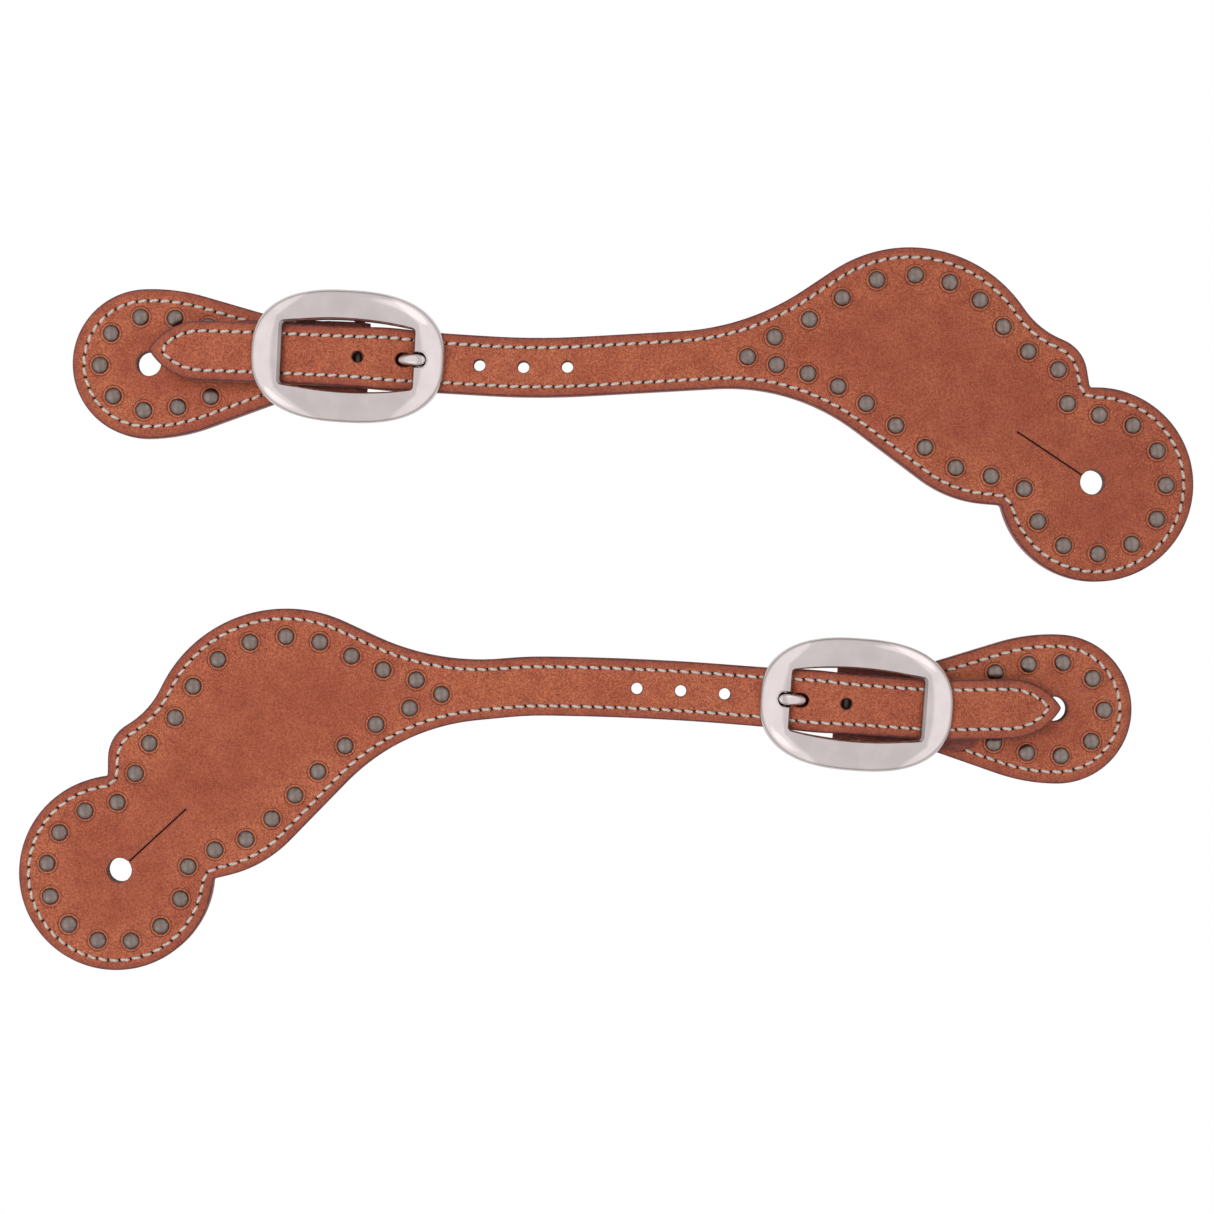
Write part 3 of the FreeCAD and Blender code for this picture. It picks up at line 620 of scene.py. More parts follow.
def arc(centre, radius, first, last, count):
    """Points on an arc between two angles in degrees."""
    angle = np.radians(np.linspace(first, last, count))
    return np.column_stack([centre[0] + radius * np.cos(angle), centre[1] + radius * np.sin(angle)])


def divided(loop, count):
    """The closed loop as a number of evenly spaced points."""
    return resampled(loop, float(lengths(loop).sum()) / count)[:count]


def frame_underside(x):
    return FRAME_LIFT - FRAME_SLOPE * x + FRAME_ARCH * (1 - (x / BUCKLE_HALF[0]) ** 2)


def frame_outline():
    angle = 2 * math.pi * np.arange(2000) / 2000
    oval = [powered(wave(angle), 2 / BUCKLE_ROUNDNESS) for wave in (np.cos, np.sin)]
    return divided(np.column_stack(oval) * BUCKLE_HALF, FRAME_STATIONS)


def window_outline():
    """The window's outline with rounded corners, starting on the +X side."""
    half_x, half_y = WINDOW_HALF
    corners = []
    for sign_x, sign_y, start in ((1, 1, 0), (-1, 1, 90), (-1, -1, 180), (1, -1, 270)):
        centre = (sign_x * (half_x - WINDOW_CORNER), sign_y * (half_y - WINDOW_CORNER))
        corners.append(arc(centre, WINDOW_CORNER, start, start + 90, 9))
    line = resampled(np.vstack(corners), 0.2)
    line[:, 1] *= 1 + WINDOW_BOW / half_y * (1 - (line[:, 0] / half_x) ** 2)
    line = resampled(line, 0.2)
    start = int(np.argmin(np.hypot(line[:, 0] - half_x, line[:, 1])))
    return divided(np.roll(line, -start, axis=0), FRAME_STATIONS)


def frame_body():
    """Points, faces and shades of the frame; its section runs from the outer edge inwards."""
    face = catmull(FRAME_FACE, 4)
    rings = []
    for outer, inner in zip(frame_outline(), window_outline()):
        gap = inner - outer
        tab_side = clamped(-(inner[0] + 15) / 5)
        bevel = (BEVEL_WIDTH + BEVEL_EXTRA * tab_side) / float(np.linalg.norm(gap))
        section = [(share * (1 - bevel), height) for share, height in face]
        section += [(1 - bevel + share * bevel, height) for share, height in FRAME_BEVEL]
        section += FRAME_UNDER
        rings.append([[*(outer + gap * share), height] for share, height in section])
    points = np.array(rings)
    shade = np.tile([0.0] * (len(face) - 2) + list(FRAME_SHADE), (FRAME_STATIONS, 1))
    points[..., 2] += frame_underside(points[..., 0])
    x, y, z = points[..., 0], points[..., 1], points[..., 2]
    reach = NOTCH_R ** 2 - y ** 2 - np.maximum(x - NOTCH_END, 0) ** 2
    scooped = (x > NOTCH_START) & (reach > 0)
    floor = np.maximum(NOTCH_AXIS - np.sqrt(np.maximum(reach, 0)), frame_underside(x) + 0.4)
    z[scooped] = np.minimum(z, floor)[scooped]
    shade[scooped] = np.minimum(shade[scooped], 0.35)
    faces = grid_faces(FRAME_STATIONS, points.shape[1], close_rows=True)
    return points.reshape(-1, 3), faces, shade.ravel().tolist()


def headings(path):
    """Each point of a path with the direction of the path there."""
    for index, place in enumerate(path):
        step = path[min(index + 1, len(path) - 1)] - path[max(index - 1, 0)]
        yield place, step / np.linalg.norm(step)


def catmull(points, per_span=6):
    """A smooth curve through the points."""
    points = [np.array(point, float) for point in points]
    points = [2 * points[0] - points[1]] + points + [2 * points[-1] - points[-2]]
    curve = []
    for a, b, c, d in zip(points, points[1:], points[2:], points[3:]):
        for step in range(per_span):
            t = step / per_span
            curve.append(0.5 * (2 * b + (c - a) * t + (2 * a - 5 * b + 4 * c - d) * t * t
                                + (3 * b - a - 3 * c + d) * t ** 3))
    curve.append(points[-2])
    return curve


def buckle(strap, material):
    """The frame, and the dropped bar that hangs below it on two legs."""
    shell = Shell()
    points, faces, shade = frame_body()
    shell.add(points, faces)
    leg = [(BAR_LEG, FRAME_LIFT + FRAME_ARCH + 1.2), (BAR_LEG, 8), (BAR_LEG, 5.4),
           (BAR_LEG - 0.5, BAR_HEIGHT + 0.2), (BAR_LEG - 2.4, BAR_HEIGHT)]
    stops = [(-y, z) for y, z in leg] + [(0, BAR_HEIGHT)] + leg[::-1]
    angle = np.linspace(0, 2 * math.pi, 20, endpoint=False)[:, None]
    rings = []
    for place, direction in headings(catmull([(BAR_X, y, z) for y, z in stops])):
        wide = BAR_R * (1 - 0.25 * clamped((place[2] - BAR_HEIGHT) / 3))
        side = np.cross(direction, (1, 0, 0))
        rings.append(place + np.array((BAR_R, 0, 0)) * np.cos(angle) + side * wide * np.sin(angle))
    shell.tube(rings)
    shade += [0.9] * (len(shell.points) - len(shade))
    return new_object(f"{strap.side}_buckle_body", strap, shell.points, shell.faces, material,
                      {"mark": shade})


def tongue(strap, material):
    """The tongue's bent shank with its bullet nose, and the eye that holds it on the bar."""
    shell = Shell()
    path = catmull([(x, 0, z) for x, z in TONGUE_LINE], 8)
    angle = np.linspace(0, 2 * math.pi, 24, endpoint=False)[:, None]
    rings = []
    for place, direction in headings(path):
        left = path[-1][0] - place[0]
        bullet = math.sqrt(max(0.0, 1 - (1 - min(left / TONGUE_POINT, 1)) ** 2.4))
        wide = max((1.55 + 0.3 * clamped((place[0] - 15) / 7)) * bullet, 0.12)
        high = max(1.1 * (0.45 + 0.55 * bullet), 0.12) if left > 0.01 else 0.3
        up = np.cross(direction, (0, 1, 0))
        up = -up if up[2] < 0 else up
        rings.append(place + np.array((0, wide, 0)) * powered(np.cos(angle), 0.9)
                     + up * high * powered(np.sin(angle), 0.95))
    shell.tube(rings)
    shade = [0.12] * len(shell.points)
    band = EYE_SECTION + tuple((-y, radius) for y, radius in EYE_SECTION[-2::-1])
    points = [(BAR_X + radius * math.cos(turn), y, BAR_HEIGHT + radius * math.sin(turn))
              for turn in np.linspace(0, 2 * math.pi, 40, endpoint=False) for y, radius in band]
    shade += [1.0] * len(points)
    shell.add(points, grid_faces(40, len(band), close_rows=True))
    return new_object(f"{strap.side}_buckle_prong", strap, shell.points, shell.faces, material,
                      {"mark": shade})


# ---- the tab's folded end ----
CHAPE_HALF = 11.6
CHAPE_PLY = 1.8
CHAPE_SETTLE = -18.0       # from here out the flap lies flat on the tab
CHAPE_SPAN = 3             # rows of points between two stops of its path
CHAPE_SHARES = (-1.0, -0.86, -0.7, -0.5, -0.36, -0.3, 0.0, 0.3, 0.36, 0.5, 0.7, 0.86, 1.0)
SLOT_COLUMNS = (5, 6)      # the faces left out for the tongue
FLAP_HALF = 9.8
FLAP_CENTRE = -32.8
PIVOT = -8.0               # the tab and the flap lean sideways from here out
LEAN = {"right": (4.7, -2.5), "left": (-3.0, 7.0)}       # of tab and flap, degrees


def chape_path():
    """Middle of the folded leather from the side, and the row at which its upper flap starts."""
    radius = BAR_R + 0.05 + CHAPE_PLY / 2
    flat = LEATHER + 0.05 + CHAPE_PLY / 2
    under = [(-27.0, 3.0), (-22.0, 3.0), (CHAPE_SETTLE, 2.98), (-12.0, 2.5), (-6.0, 1.65),
             (-1.0, BAR_HEIGHT - radius + 0.12)]
    turn = arc((BAR_X, BAR_HEIGHT), radius, -90, 90, 9)
    over = [(-1.0, BAR_HEIGHT + radius - 0.12), (-6.0, 5.95), (-12.0, 5.5), (CHAPE_SETTLE, flat),
            (-24.0, flat), (-30.0, flat)]
    end = [(FLAP_CENTRE - FLAP_HALF * math.sin(angle), flat)
           for angle in np.linspace(0, math.pi / 2, 7)]
    curve = catmull(np.vstack([under, turn, over, end]), CHAPE_SPAN)
    return curve, (len(under) + len(turn)) * CHAPE_SPAN


def flap_size(x):
    """Half width and thickness of the upper flap: it narrows to a thinned, round end."""
    settled = clamped((x - PIVOT) / (CHAPE_SETTLE - PIVOT))
    half = CHAPE_HALF + (FLAP_HALF - CHAPE_HALF) * settled
    if x < FLAP_CENTRE:
        half = math.sqrt(max(FLAP_HALF ** 2 - (FLAP_CENTRE - x) ** 2, 0.05))
    return half, CHAPE_PLY * (1 - 0.35 * clamped((FLAP_CENTRE + 4 - x) / 12))


def chape(strap, material):
    """The narrow end of the tab's outer ply, folded round the bar, with a slot for the tongue."""
    curve, flap_start = chape_path()
    points = []
    thickness = []
    for index, (x, z) in enumerate(curve):
        upper = index >= flap_start
        half, thick = flap_size(x) if upper else (CHAPE_HALF + 0.8 * bell(x + 13, 5), CHAPE_PLY)
        angle = math.radians(LEAN[strap.side][1 if upper else 0]) if x < PIVOT else 0.0
        for share in CHAPE_SHARES:
            along, across = x - PIVOT, share * half
            points.append((PIVOT + along * math.cos(angle) - across * math.sin(angle),
                           along * math.sin(angle) + across * math.cos(angle), z))
            thickness.append(thick)
    columns = len(CHAPE_SHARES)
    faces = []
    for row in range(len(curve) - 1):
        slotted = max(curve[row][0], curve[row + 1][0]) > PIVOT - 1
        for column in range(columns - 1):
            if not (slotted and column in SLOT_COLUMNS):
                first = row * columns + column
                faces.append((first, first + 1, first + columns + 1, first + columns))
    plain = {"edge": [0.6] * len(points), "mark": [0.0] * len(points), "ply": [0.0] * len(points)}
    thing = new_object(f"{strap.side}_folded_chape", strap, points, faces, material, plain)
    weights = thing.vertex_groups.new(name="thickness")
    for index, thick in enumerate(thickness):
        weights.add([index], thick / CHAPE_PLY, "REPLACE")
    modify(thing, "SOLIDIFY", thickness=CHAPE_PLY * MM, offset=0, vertex_group="thickness")
    modify(thing, "BEVEL", width=0.4 * MM, segments=2, limit_method="ANGLE")
    modify(thing, "SUBSURF", levels=1, render_levels=1)
    apply_modifiers(thing)
    return thing


def modify(thing, kind, **settings):
    modifier = thing.modifiers.new(kind.lower(), kind)
    for key, value in settings.items():
        setattr(modifier, key, value)


def apply_modifiers(thing):
    bpy.context.view_layer.update()
    evaluated = thing.evaluated_get(bpy.context.evaluated_depsgraph_get())
    mesh = bpy.data.meshes.new_from_object(evaluated)
    thing.modifiers.clear()
    thing.data = mesh
    mesh.polygons.foreach_set("use_smooth", [True] * len(mesh.polygons))


# ---- materials ----
class Nodes:
    """Short-hand for building the node tree of a material or a world."""

    def __init__(self, owner):
        owner.use_nodes = True
        self.tree = owner.node_tree
        self.tree.nodes.clear()

    def add(self, kind, inputs=None, **settings):
        """A new node; inputs gives its named or numbered inputs values, or links to outputs."""
        node = self.tree.nodes.new(kind)
        for key, value in settings.items():
            setattr(node, key, value)
        self.feed(node, inputs or {})
        return node

    def feed(self, node, inputs):
        for key, value in inputs.items():
            if isinstance(value, bpy.types.NodeSocket):
                self.tree.links.new(value, node.inputs[key])
            else:
                node.inputs[key].default_value = value

    def attribute(self, name, output="Fac"):
        return self.add("ShaderNodeAttribute", attribute_name=name).outputs[output]

    def math(self, operation, first, second=0.0):
        return self.add("ShaderNodeMath", {0: first, 1: second}, operation=operation).outputs[0]

    def spread(self, value, low, high, out_low=0.0, out_high=1.0):
        """The value rescaled, so that low and high become out_low and out_high."""
        inputs = dict(enumerate((value, low, high, out_low, out_high)))
        return self.add("ShaderNodeMapRange", inputs, interpolation_type="SMOOTHSTEP").outputs[0]

    def separate(self, vector):
        return self.add("ShaderNodeSeparateXYZ", {0: vector}).outputs

    def scaled(self, vector, scale):
        return self.add("ShaderNodeMapping", {"Vector": vector, "Scale": scale}).outputs[0]

    def noise(self, vector, scale, detail=3.0, roughness=0.55, distortion=0.0):
        inputs = {"Vector": vector, "Scale": scale, "Detail": detail, "Roughness": roughness,
                  "Distortion": distortion}
        return self.add("ShaderNodeTexNoise", inputs).outputs["Fac"]

    def mix(self, share, first, second):
        inputs = {0: share, 6: first, 7: second}
        return self.add("ShaderNodeMix", inputs, data_type="RGBA").outputs[2]

    def mix_shaders(self, share, first, second):
        inputs = {0: share, 1: first.outputs[0], 2: second.outputs[0]}
        return self.add("ShaderNodeMixShader", inputs).outputs[0]

    def bumps(self, *layers):
        """A normal from layers of height, distance in metres and strength."""
        node = None
        for height, distance, strength in layers:
            inputs = {"Height": height, "Distance": distance, "Strength": strength}
            if node is not None:
                inputs["Normal"] = node.outputs[0]
            node = self.add("ShaderNodeBump", inputs)
        return node.outputs[0]


class Look(Nodes):
    """The node tree of a material with a Principled shader."""

    def __init__(self, name):
        self.material = bpy.data.materials.new(name)
        super().__init__(self.material)
        self.shader = self.add("ShaderNodeBsdfPrincipled")
        self.output = self.add("ShaderNodeOutputMaterial", {0: self.shader.outputs[0]})

    def shaded(self, **inputs):
        """The finished material; underscores stand for the spaces in its inputs' names."""
        self.feed(self.shader, {name.replace("_", " "): value for name, value in inputs.items()})
        return self.material


def linear(red, green, blue):
    """A display colour, 0 to 255, as scene colour."""
    def one(value):
        value /= 255
        return value / 12.92 if value <= 0.04045 else ((value + 0.055) / 1.055) ** 2.4
    return (one(red), one(green), one(blue), 1.0)


def leather_material(name, light, middle, dark):
    """Oiled russet leather: cloudy colour, fine pores, short wrinkles, dark burnished edges."""
    n = Look(name)
    place = n.attribute("flat", "Vector")
    edge = n.attribute("edge")
    mark = n.attribute("mark")
    clouds = n.noise(place, 0.03, 4, 0.6, 0.4)
    patches = n.noise(place, 0.16, 5, 0.62)
    grain = n.noise(place, 1.1, 4, 0.8)
    fibres = n.noise(n.scaled(place, (2.2, 0.6, 1.0)), 1.0, 4, 0.7, 0.6)
    specks = n.noise(place, 2.3, 3, 0.7)
    ragged = n.math("ADD", edge, n.spread(n.noise(place, 0.6, 3), 0.3, 0.7, -0.16, 0.16))
    low_wall = n.math("MULTIPLY", n.attribute("ply"), n.spread(edge, 0.0, 0.04, 0.8, 0.0))
    colour = n.mix(n.spread(clouds, 0.3, 0.7), linear(*middle), linear(*light))
    for share, tint in ((n.spread(patches, 0.4, 0.68, 0.0, 0.38), dark),
                        (n.spread(grain, 0.42, 0.6, 0.0, 0.62), dark),
                        (n.spread(fibres, 0.45, 0.66, 0.0, 0.45), dark),
                        (n.spread(specks, 0.52, 0.64, 0.0, 0.55), (92, 38, 28)),
                        (n.spread(specks, 0.34, 0.47, 0.55, 0.0), (228, 140, 92)),
                        (n.spread(edge, 8.0, 20.0, 0.0, 0.35), (146, 66, 48)),
                        (n.spread(ragged, 0.8, 3.6, 0.45, 0.0), (128, 58, 48)),
                        (n.spread(ragged, 0.1, 0.8, 0.9, 0.0), (84, 36, 42)),
                        (n.spread(edge, 0.0, 0.04, 0.45, 0.0), (150, 84, 66)),
                        (low_wall, (192, 120, 84)),
                        # painted highlight round the studs where the mark is below zero; above zero
                        # painted shade in holes, needle holes and rings, darker rims, and the dark
                        # joint of the plies
                        (n.spread(mark, -0.6, -0.05, 0.5, 0.0), (226, 138, 94)),
                        (n.spread(mark, 0.12, 0.9, 0.0, 0.93), (44, 20, 20))):
        colour = n.mix(share, colour, linear(*tint))
    rough = n.math("ADD", n.spread(grain, 0.3, 0.7, 0.36, 0.54),
                   n.spread(patches, 0.35, 0.7, -0.06, 0.08))
    rough = n.math("ADD", rough, n.spread(edge, 0.0, 1.2, -0.08, 0.0))
    cells = n.add("ShaderNodeTexVoronoi", {"Vector": place, "Scale": 1.5},
                  feature="DISTANCE_TO_EDGE")
    pores = n.spread(cells.outputs["Distance"], 0.0, 0.28)
    normal = n.bumps((pores, 0.00006, 0.5), (fibres, 0.0003, 0.6), (grain, 0.0003, 0.7),
                     (specks, 0.00015, 0.7))
    return n.shaded(Base_Color=colour, Roughness=rough, Normal=normal, Specular_IOR_Level=0.36,
                    Sheen_Weight=0.06, Sheen_Roughness=0.5)


def thread_material():
    """Waxed cream thread, a little dirty, with fine fibres."""
    n = Look("waxed_thread")
    place = n.attribute("flat", "Vector")
    dirt = n.noise(place, 0.9, 3, 0.6)
    fibre = n.noise(place, 9.0, 3, 0.7)
    colour = n.mix(n.spread(dirt, 0.35, 0.75), linear(214, 205, 197), linear(182, 166, 153))
    colour = n.mix(n.spread(fibre, 0.45, 0.8, 0.0, 0.5), colour, linear(150, 130, 116))
    return n.shaded(Base_Color=colour, Roughness=0.62, Normal=n.bumps((fibre, 0.00008, 0.6)),
                    Sheen_Weight=0.2)


def steel_material():
    """Polished stainless steel with faint handling marks, and painted shade: dull brown where it lies
    under the leather or faces it, a painted reflection of the leather.
    """
    n = Look("polished_stainless")
    place = n.attribute("flat", "Vector")
    painted_shade = n.attribute("mark")
    satin = n.noise(n.scaled(place, (0.6, 7.0, 3.0)), 1.6, 4, 0.7)
    smear = n.noise(place, 0.1, 3, 0.5)
    scratch = n.noise(n.scaled(place, (0.35, 9.0, 9.0)), 1.0, 6, 0.8, 1.5)
    colour = n.mix(n.spread(smear, 0.3, 0.7), linear(224, 216, 215), linear(214, 205, 205))
    # painted shade and painted reflection of the dark leather on the bar, the tongue, the window's
    # wall and the underside
    colour = n.mix(n.math("MULTIPLY", painted_shade, 0.92), colour, linear(58, 40, 36))
    rough = n.math("ADD", n.spread(satin, 0.3, 0.7, 0.06, 0.09),
                   n.spread(smear, 0.4, 0.75, 0.0, 0.02))
    rough = n.math("ADD", rough, n.math("MULTIPLY", painted_shade, 0.25))
    normal = n.bumps((satin, 0.000005, 0.3), (n.spread(scratch, 0.62, 0.72), 0.000008, 0.3))
    return n.shaded(Base_Color=colour, Roughness=rough, Normal=normal, Metallic=1.0)


def stud_material():
    """Antique nickel: dark in the hollows, and lighter on the crown, partly a rubbed finish and
    partly a painted highlight.
    """
    n = Look("antique_nickel")
    place = n.attribute("flat", "Vector")
    tarnish = n.noise(place, 0.8, 4, 0.65)
    pits = n.noise(place, 5.0, 3, 0.6)
    crown = n.spread(n.separate(place)[2], LEATHER + 0.5, LEATHER + 1.4)
    colour = n.mix(n.spread(tarnish, 0.35, 0.7), linear(128, 115, 109), linear(100, 88, 83))
    # lighter towards the top of the dome: rubbed finish, with a painted highlight
    colour = n.mix(n.math("MULTIPLY", crown, 0.6), colour, linear(152, 139, 134))
    colour = n.mix(n.spread(pits, 0.56, 0.75, 0.0, 0.5), colour, linear(80, 70, 66))
    rough = n.spread(tarnish, 0.3, 0.7, 0.28, 0.42)
    return n.shaded(Base_Color=colour, Roughness=rough, Normal=n.bumps((pits, 0.00003, 0.35)),
                    Metallic=1.0)


def copper_material():
    n = Look("dull_copper")
    stain = n.noise(n.add("ShaderNodeTexCoord").outputs["Object"], 900, 4, 0.6)
    colour = n.mix(n.spread(stain, 0.35, 0.7), linear(196, 122, 88), linear(126, 74, 52))
    return n.shaded(Base_Color=colour, Roughness=n.spread(stain, 0.3, 0.7, 0.3, 0.5), Metallic=1.0)


LEATHER_LOOK = leather_material("russet_leather", (206, 116, 78), (188, 97, 66), (126, 52, 38))
# a darker, more purple copy of the russet leather: the flesh side's own tone, with painted shade
# where the fold lies under the billet and in the buckle's window
CHAPE_LOOK = leather_material("dark_chape_leather", (158, 92, 76), (140, 78, 66), (98, 50, 46))
THREAD_LOOK = thread_material()
STEEL_LOOK = steel_material()
STUD_LOOK = stud_material()
COPPER_LOOK = copper_material()


# ---- one strap ----
TONGUE_HOLE = (15.1, 20.4)       # its two ends on the grain side
TONGUE_HOLE_HALF = 2.35
TONGUE_HOLE_SLANT = 4.6          # it opens this much nearer to the bar on the flesh side
STEP = 0.5                       # between the stations at which the strap's rise is read
FLAT_FROM = 62                   # beyond this the strap lies on the table
TAB_SEAM_END = -21.0
NECK_SWELL = 0.045               # the billet is this share wider at the buckle


def rise_of(strap):
    """Height of the billet's underside along the strap, read from its lining."""
    mesh = NODES[f"{strap.side}_billet_lining"].data
    upward = {index for triangle in mesh.loop_triangles if triangle.normal.z > 0.5
              for index in triangle.vertices}
    points = strap.to_local([mesh.vertices[index].co for index in sorted(upward)])
    points = points[np.abs(points[:, 1]) > TONGUE_HOLE_HALF + 1]
    points = points[np.argsort(points[:, 0])]
    stations = np.arange(-75.0, 300.0, STEP)
    heights = np.interp(stations, points[:, 0], points[:, 2] - LINING)
    padded = np.pad(heights, 20, "edge")
    kernel = np.exp(-0.5 * (np.arange(-12, 13) / 4.0) ** 2)
    heights = np.convolve(padded, kernel / kernel.sum(), "same")[20:-20]
    heights = np.where(stations > FLAT_FROM, 0.0, heights)
    return lambda x: np.interp(x, stations, heights)


def level(x):
    """No rise, for a piece that lies flat."""
    return 0.0 * x


def tongue_hole():
    half = TONGUE_HOLE_HALF
    ends = [arc((TONGUE_HOLE[1] - half, 0), half, -90, 90, 13),
            arc((TONGUE_HOLE[0] + half, 0), half, 90, 270, 13)]
    return resampled(np.vstack(ends), 0.35)


def tongue_shear(points):
    """The tongue's hole slants: how far each place moves between grain side and flesh side."""
    across = np.clip((5.2 - np.abs(points[:, 1])) / 2.6, 0, 1)
    away = np.maximum(np.maximum(14.9 - points[:, 0], points[:, 0] - 20.0), 0)
    along = np.clip(1 - away / 14, 0, 1)
    return -TONGUE_HOLE_SLANT * across ** 2 * (3 - 2 * across) * along ** 2 * (3 - 2 * along)


def roundness(loop):
    """1 for a circle, less for anything else."""
    return 4 * math.pi * abs(area(loop)) / lengths(loop).sum() ** 2


def spare_holes(loops):
    """The round punched holes, leaving out the slanting hole that the tongue sits in."""
    found = [loop for loop in loops if SPARE_HOLE_AREA < abs(area(loop)) < BUTTON_HOLE_AREA]
    return [counter_clockwise(resampled(loop, 0.45)) for loop in found if roundness(loop) > 0.95]


def by_size(loops):
    """The loops, largest first: the outline, then the button hole with its slit."""
    return sorted(loops, key=lambda loop: -abs(area(loop)))


def outline_of(loops):
    return counter_clockwise(by_size(loops)[0])


def button_hole(loops):
    return counter_clockwise(resampled(by_size(loops)[1], 0.4))


def tie(piece, body, slot, *nodes):
    """Ties a finished piece to the body it rides on and hides the nodes it replaces; its material
    slot is not used.
    """
    if nodes:
        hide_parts(*nodes)
    if body:
        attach(piece, body)


def stitched_piece(strap, part, studded, outline, holes, seam, lift, limit=None, shear=None):
    """A two-ply piece of leather with its thread and its studs; returns leather and thread."""
    side = strap.side
    centres = stud_centres(f"{side}_{studded}_studs", strap)
    path = seam_path(outline, tree_of(resampled(outline, 0.1)), seam, limit)
    panel = Panel(outline, holes, centres, seam, path)
    body = panel.build(f"{side}_{part}_leather", strap, LEATHER_LOOK, lift, shear)
    thread = stitching(f"{side}_{part}_stitching", strap, path, limit is None, lift, THREAD_LOOK)
    spots = studs(f"{side}_{studded}_spots", strap, centres, STUD_LOOK)
    tie(spots, f"{side}_{studded}", "stud_metal", f"{side}_{studded}_studs")
    return body, thread


def long_strap(strap):
    side = strap.side
    billet = upward_loops(f"{side}_billet_lining", strap)
    flare = upward_loops(f"{side}_flare_lining", strap)
    outline = joined(outline_of(billet), outline_of(flare))
    outline = smoothed(resampled(outline, 0.55), 1.0)
    outline[:, 1] *= 1 + NECK_SWELL * bell(outline[:, 0] - 14, 9)
    holes = spare_holes(billet) + [button_hole(flare), tongue_hole()]
    body, thread = stitched_piece(strap, "strap", "flare", outline, holes, STRAP_SEAM,
                                  rise_of(strap), shear=tongue_shear)
    plies = [f"{side}_{part}_{ply}" for ply in ("outer", "lining") for part in ("billet", "flare")]
    tie(body, None, "leather_outer", *plies)
    tie(thread, None, "thread", f"{side}_billet_seam", f"{side}_flare_seam")
    joint = JOINTS[f"{side}_neck_flex"]
    middle = np.array(joint["pos_m"])
    reach = np.cross(joint["axis"], (0, 0, 1)) * FLEX_HALF * MM
    if reach @ (np.array(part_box(f"{side}_flare_studs")[0]) - middle) < 0:
        reach = -reach
    for piece in (body, thread):
        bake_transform(piece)


def tab(strap):
    side = strap.side
    loops = upward_loops(f"{side}_tab_lining", strap)
    outline = smoothed(resampled(outline_of(loops), 0.5), 1.2)
    body, thread = stitched_piece(strap, "tab", "tab", outline, [button_hole(loops)], TAB_SEAM,
                                  level, limit=TAB_SEAM_END)
    tie(body, f"{side}_tab", "leather_outer", f"{side}_tab_outer", f"{side}_tab_lining")
    tie(thread, f"{side}_tab", "thread", f"{side}_tab_seam")


def build_strap(side):
    strap = StrapFrame(side)
    long_strap(strap)
    tab(strap)
    tie(chape(strap, CHAPE_LOOK), f"{side}_tab", "leather_outer")
    tie(buckle(strap, STEEL_LOOK), f"{side}_billet", "buckle_steel", f"{side}_buckle_frame")
    tie(tongue(strap, STEEL_LOOK), f"{side}_tongue", "buckle_steel", f"{side}_buckle_tongue")
    rivets = NODES[f"{side}_chape_rivets"]
    rivets.data.materials.clear()
    rivets.data.materials.append(COPPER_LOOK)


# ---- stage ----
TABLE_HALF = 3.0
TABLE_DROP = 0.0002
TABLE_CLEARNESS = 0.5      # how far a part below the table shows through at a slant
OVERHEAD = 0.9             # seen steeper than this, the table is clear
TABLE_FADE = (0.22, 0.95)  # from here to here the table fades into the white room
ROOM_MIDDLE = 0.64         # brightness seen by reflections straight up and across the strap
ROOM_SIDES = 0.86
ROOM_LOW = 0.45            # share of it near the horizon
SOFT_LIGHT = 0.48          # the room's light for shading, and for reflections
GLOSSY_LIGHT = 1.28
SOFTBOXES = (((0.3, 0.5, 0.62), 0.25), ((-0.45, -0.35, 0.6), 0.25))
SOFTBOX_EDGE = (0.955, 0.985)
WHITE = (1, 1, 1, 1)
CAMERA_PLACE = (0.00027, 0.00054, 0.68)
CAMERA_HALF_WIDTH = 0.1958


def light(name, place, size, power):
    """A square area light that points at the middle of the table."""
    lamp = bpy.data.lights.new(name, "AREA")
    lamp.shape = "RECTANGLE"
    lamp.size = size
    lamp.size_y = size
    lamp.energy = power
    thing = in_scene(name, lamp)
    thing.location = place
    thing.rotation_euler = (-Vector(place)).to_track_quat("-Z", "Y").to_euler()
    thing.visible_glossy = False


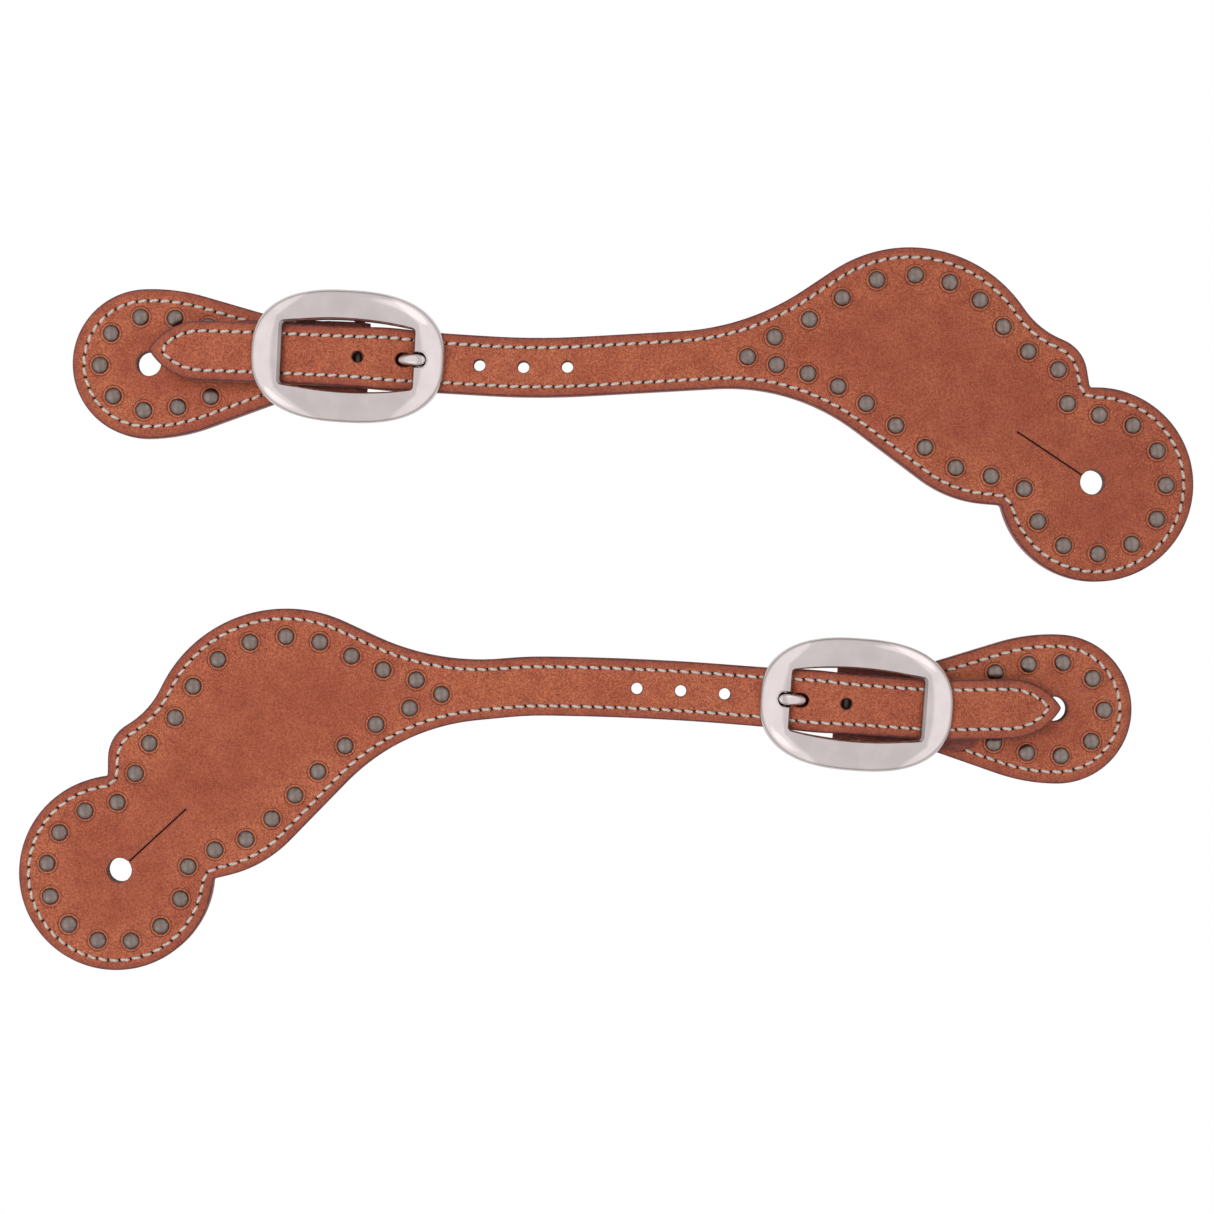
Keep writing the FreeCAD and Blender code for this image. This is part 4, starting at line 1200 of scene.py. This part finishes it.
def world():
    """White to the camera.  Shading and reflections see a soft room with two brighter softboxes."""
    studio = bpy.data.worlds.new("studio")
    bpy.context.scene.world = studio
    n = Nodes(studio)
    direction = n.add("ShaderNodeTexCoord").outputs["Generated"]
    x, _, z = n.separate(direction)
    room = n.spread(n.math("ABSOLUTE", x), 0.22, 0.27, ROOM_MIDDLE, ROOM_SIDES)
    brightness = n.math("MULTIPLY", room, n.spread(z, 0.05, 0.55, ROOM_LOW, 1.0))
    for place, power in SOFTBOXES:
        facing = n.add("ShaderNodeVectorMath", {0: direction, 1: Vector(place).normalized()},
                       operation="DOT_PRODUCT")
        patch = n.spread(facing.outputs["Value"], *SOFTBOX_EDGE, 0.0, power)
        brightness = n.math("ADD", brightness, patch)
    path = n.add("ShaderNodeLightPath").outputs
    extra = n.math("MULTIPLY", path["Is Glossy Ray"], GLOSSY_LIGHT - SOFT_LIGHT)
    strength = n.math("MULTIPLY", brightness, n.math("ADD", extra, SOFT_LIGHT))
    around = n.add("ShaderNodeBackground", {0: (1.0, 0.975, 0.975, 1), 1: strength})
    seen = n.add("ShaderNodeBackground", {0: WHITE})
    n.add("ShaderNodeOutputWorld", {0: n.mix_shaders(path["Is Camera Ray"], around, seen)})


def table():
    """Pale frosted table: clear from overhead, so that parts posed below it stay in sight."""
    half = TABLE_HALF
    mesh = bpy.data.meshes.new("table")
    mesh.from_pydata([(-half, -half, 0), (half, -half, 0), (half, half, 0), (-half, half, 0)], [],
                     [(0, 1, 2, 3)])
    thing = in_scene("table", mesh)
    thing.location.z = -TABLE_DROP
    n = Look("pale_table")
    spot = n.add("ShaderNodeNewGeometry").outputs
    away = n.add("ShaderNodeVectorMath", {0: spot["Position"]}, operation="LENGTH")
    faraway = n.spread(away.outputs["Value"], *TABLE_FADE)
    colour = n.mix(faraway, (0.86, 0.86, 0.86, 1), (0.0, 0.0, 0.0, 1))
    steep = n.math("GREATER_THAN", n.separate(spot["Incoming"])[2], OVERHEAD)
    path = n.add("ShaderNodeLightPath").outputs
    clear = n.math("MULTIPLY", n.math("MAXIMUM", steep, TABLE_CLEARNESS), path["Is Camera Ray"])
    from_below = n.math("MAXIMUM", spot["Backfacing"], path["Is Shadow Ray"])
    share = n.math("MAXIMUM", clear, from_below)
    mixed = n.mix_shaders(share, n.shader, n.add("ShaderNodeBsdfTransparent"))
    n.feed(n.output, {0: mixed})
    mesh.materials.append(n.shaded(Base_Color=colour, Roughness=0.7, Specular_IOR_Level=0.0,
                                   Emission_Color=WHITE, Emission_Strength=faraway))


def camera():
    """Straight above the pair, as wide as the square picture."""
    lens = bpy.data.cameras.new("camera")
    thing = in_scene("camera", lens)
    thing.location = CAMERA_PLACE
    lens.sensor_fit = "HORIZONTAL"
    lens.angle = 2 * math.atan(CAMERA_HALF_WIDTH / (CAMERA_PLACE[2] - LEATHER * MM))
    lens.clip_start = 0.01
    bpy.context.scene.camera = thing


bpy.context.scene.view_settings.view_transform = "Standard"
for strap_side in ("right", "left"):
    build_strap(strap_side)
world()
table()
camera()
light("key", (-0.42, 0.25, 0.85), 0.6, 4.9)
light("fill", (0.1, -0.6, 0.75), 0.7, 2.9)
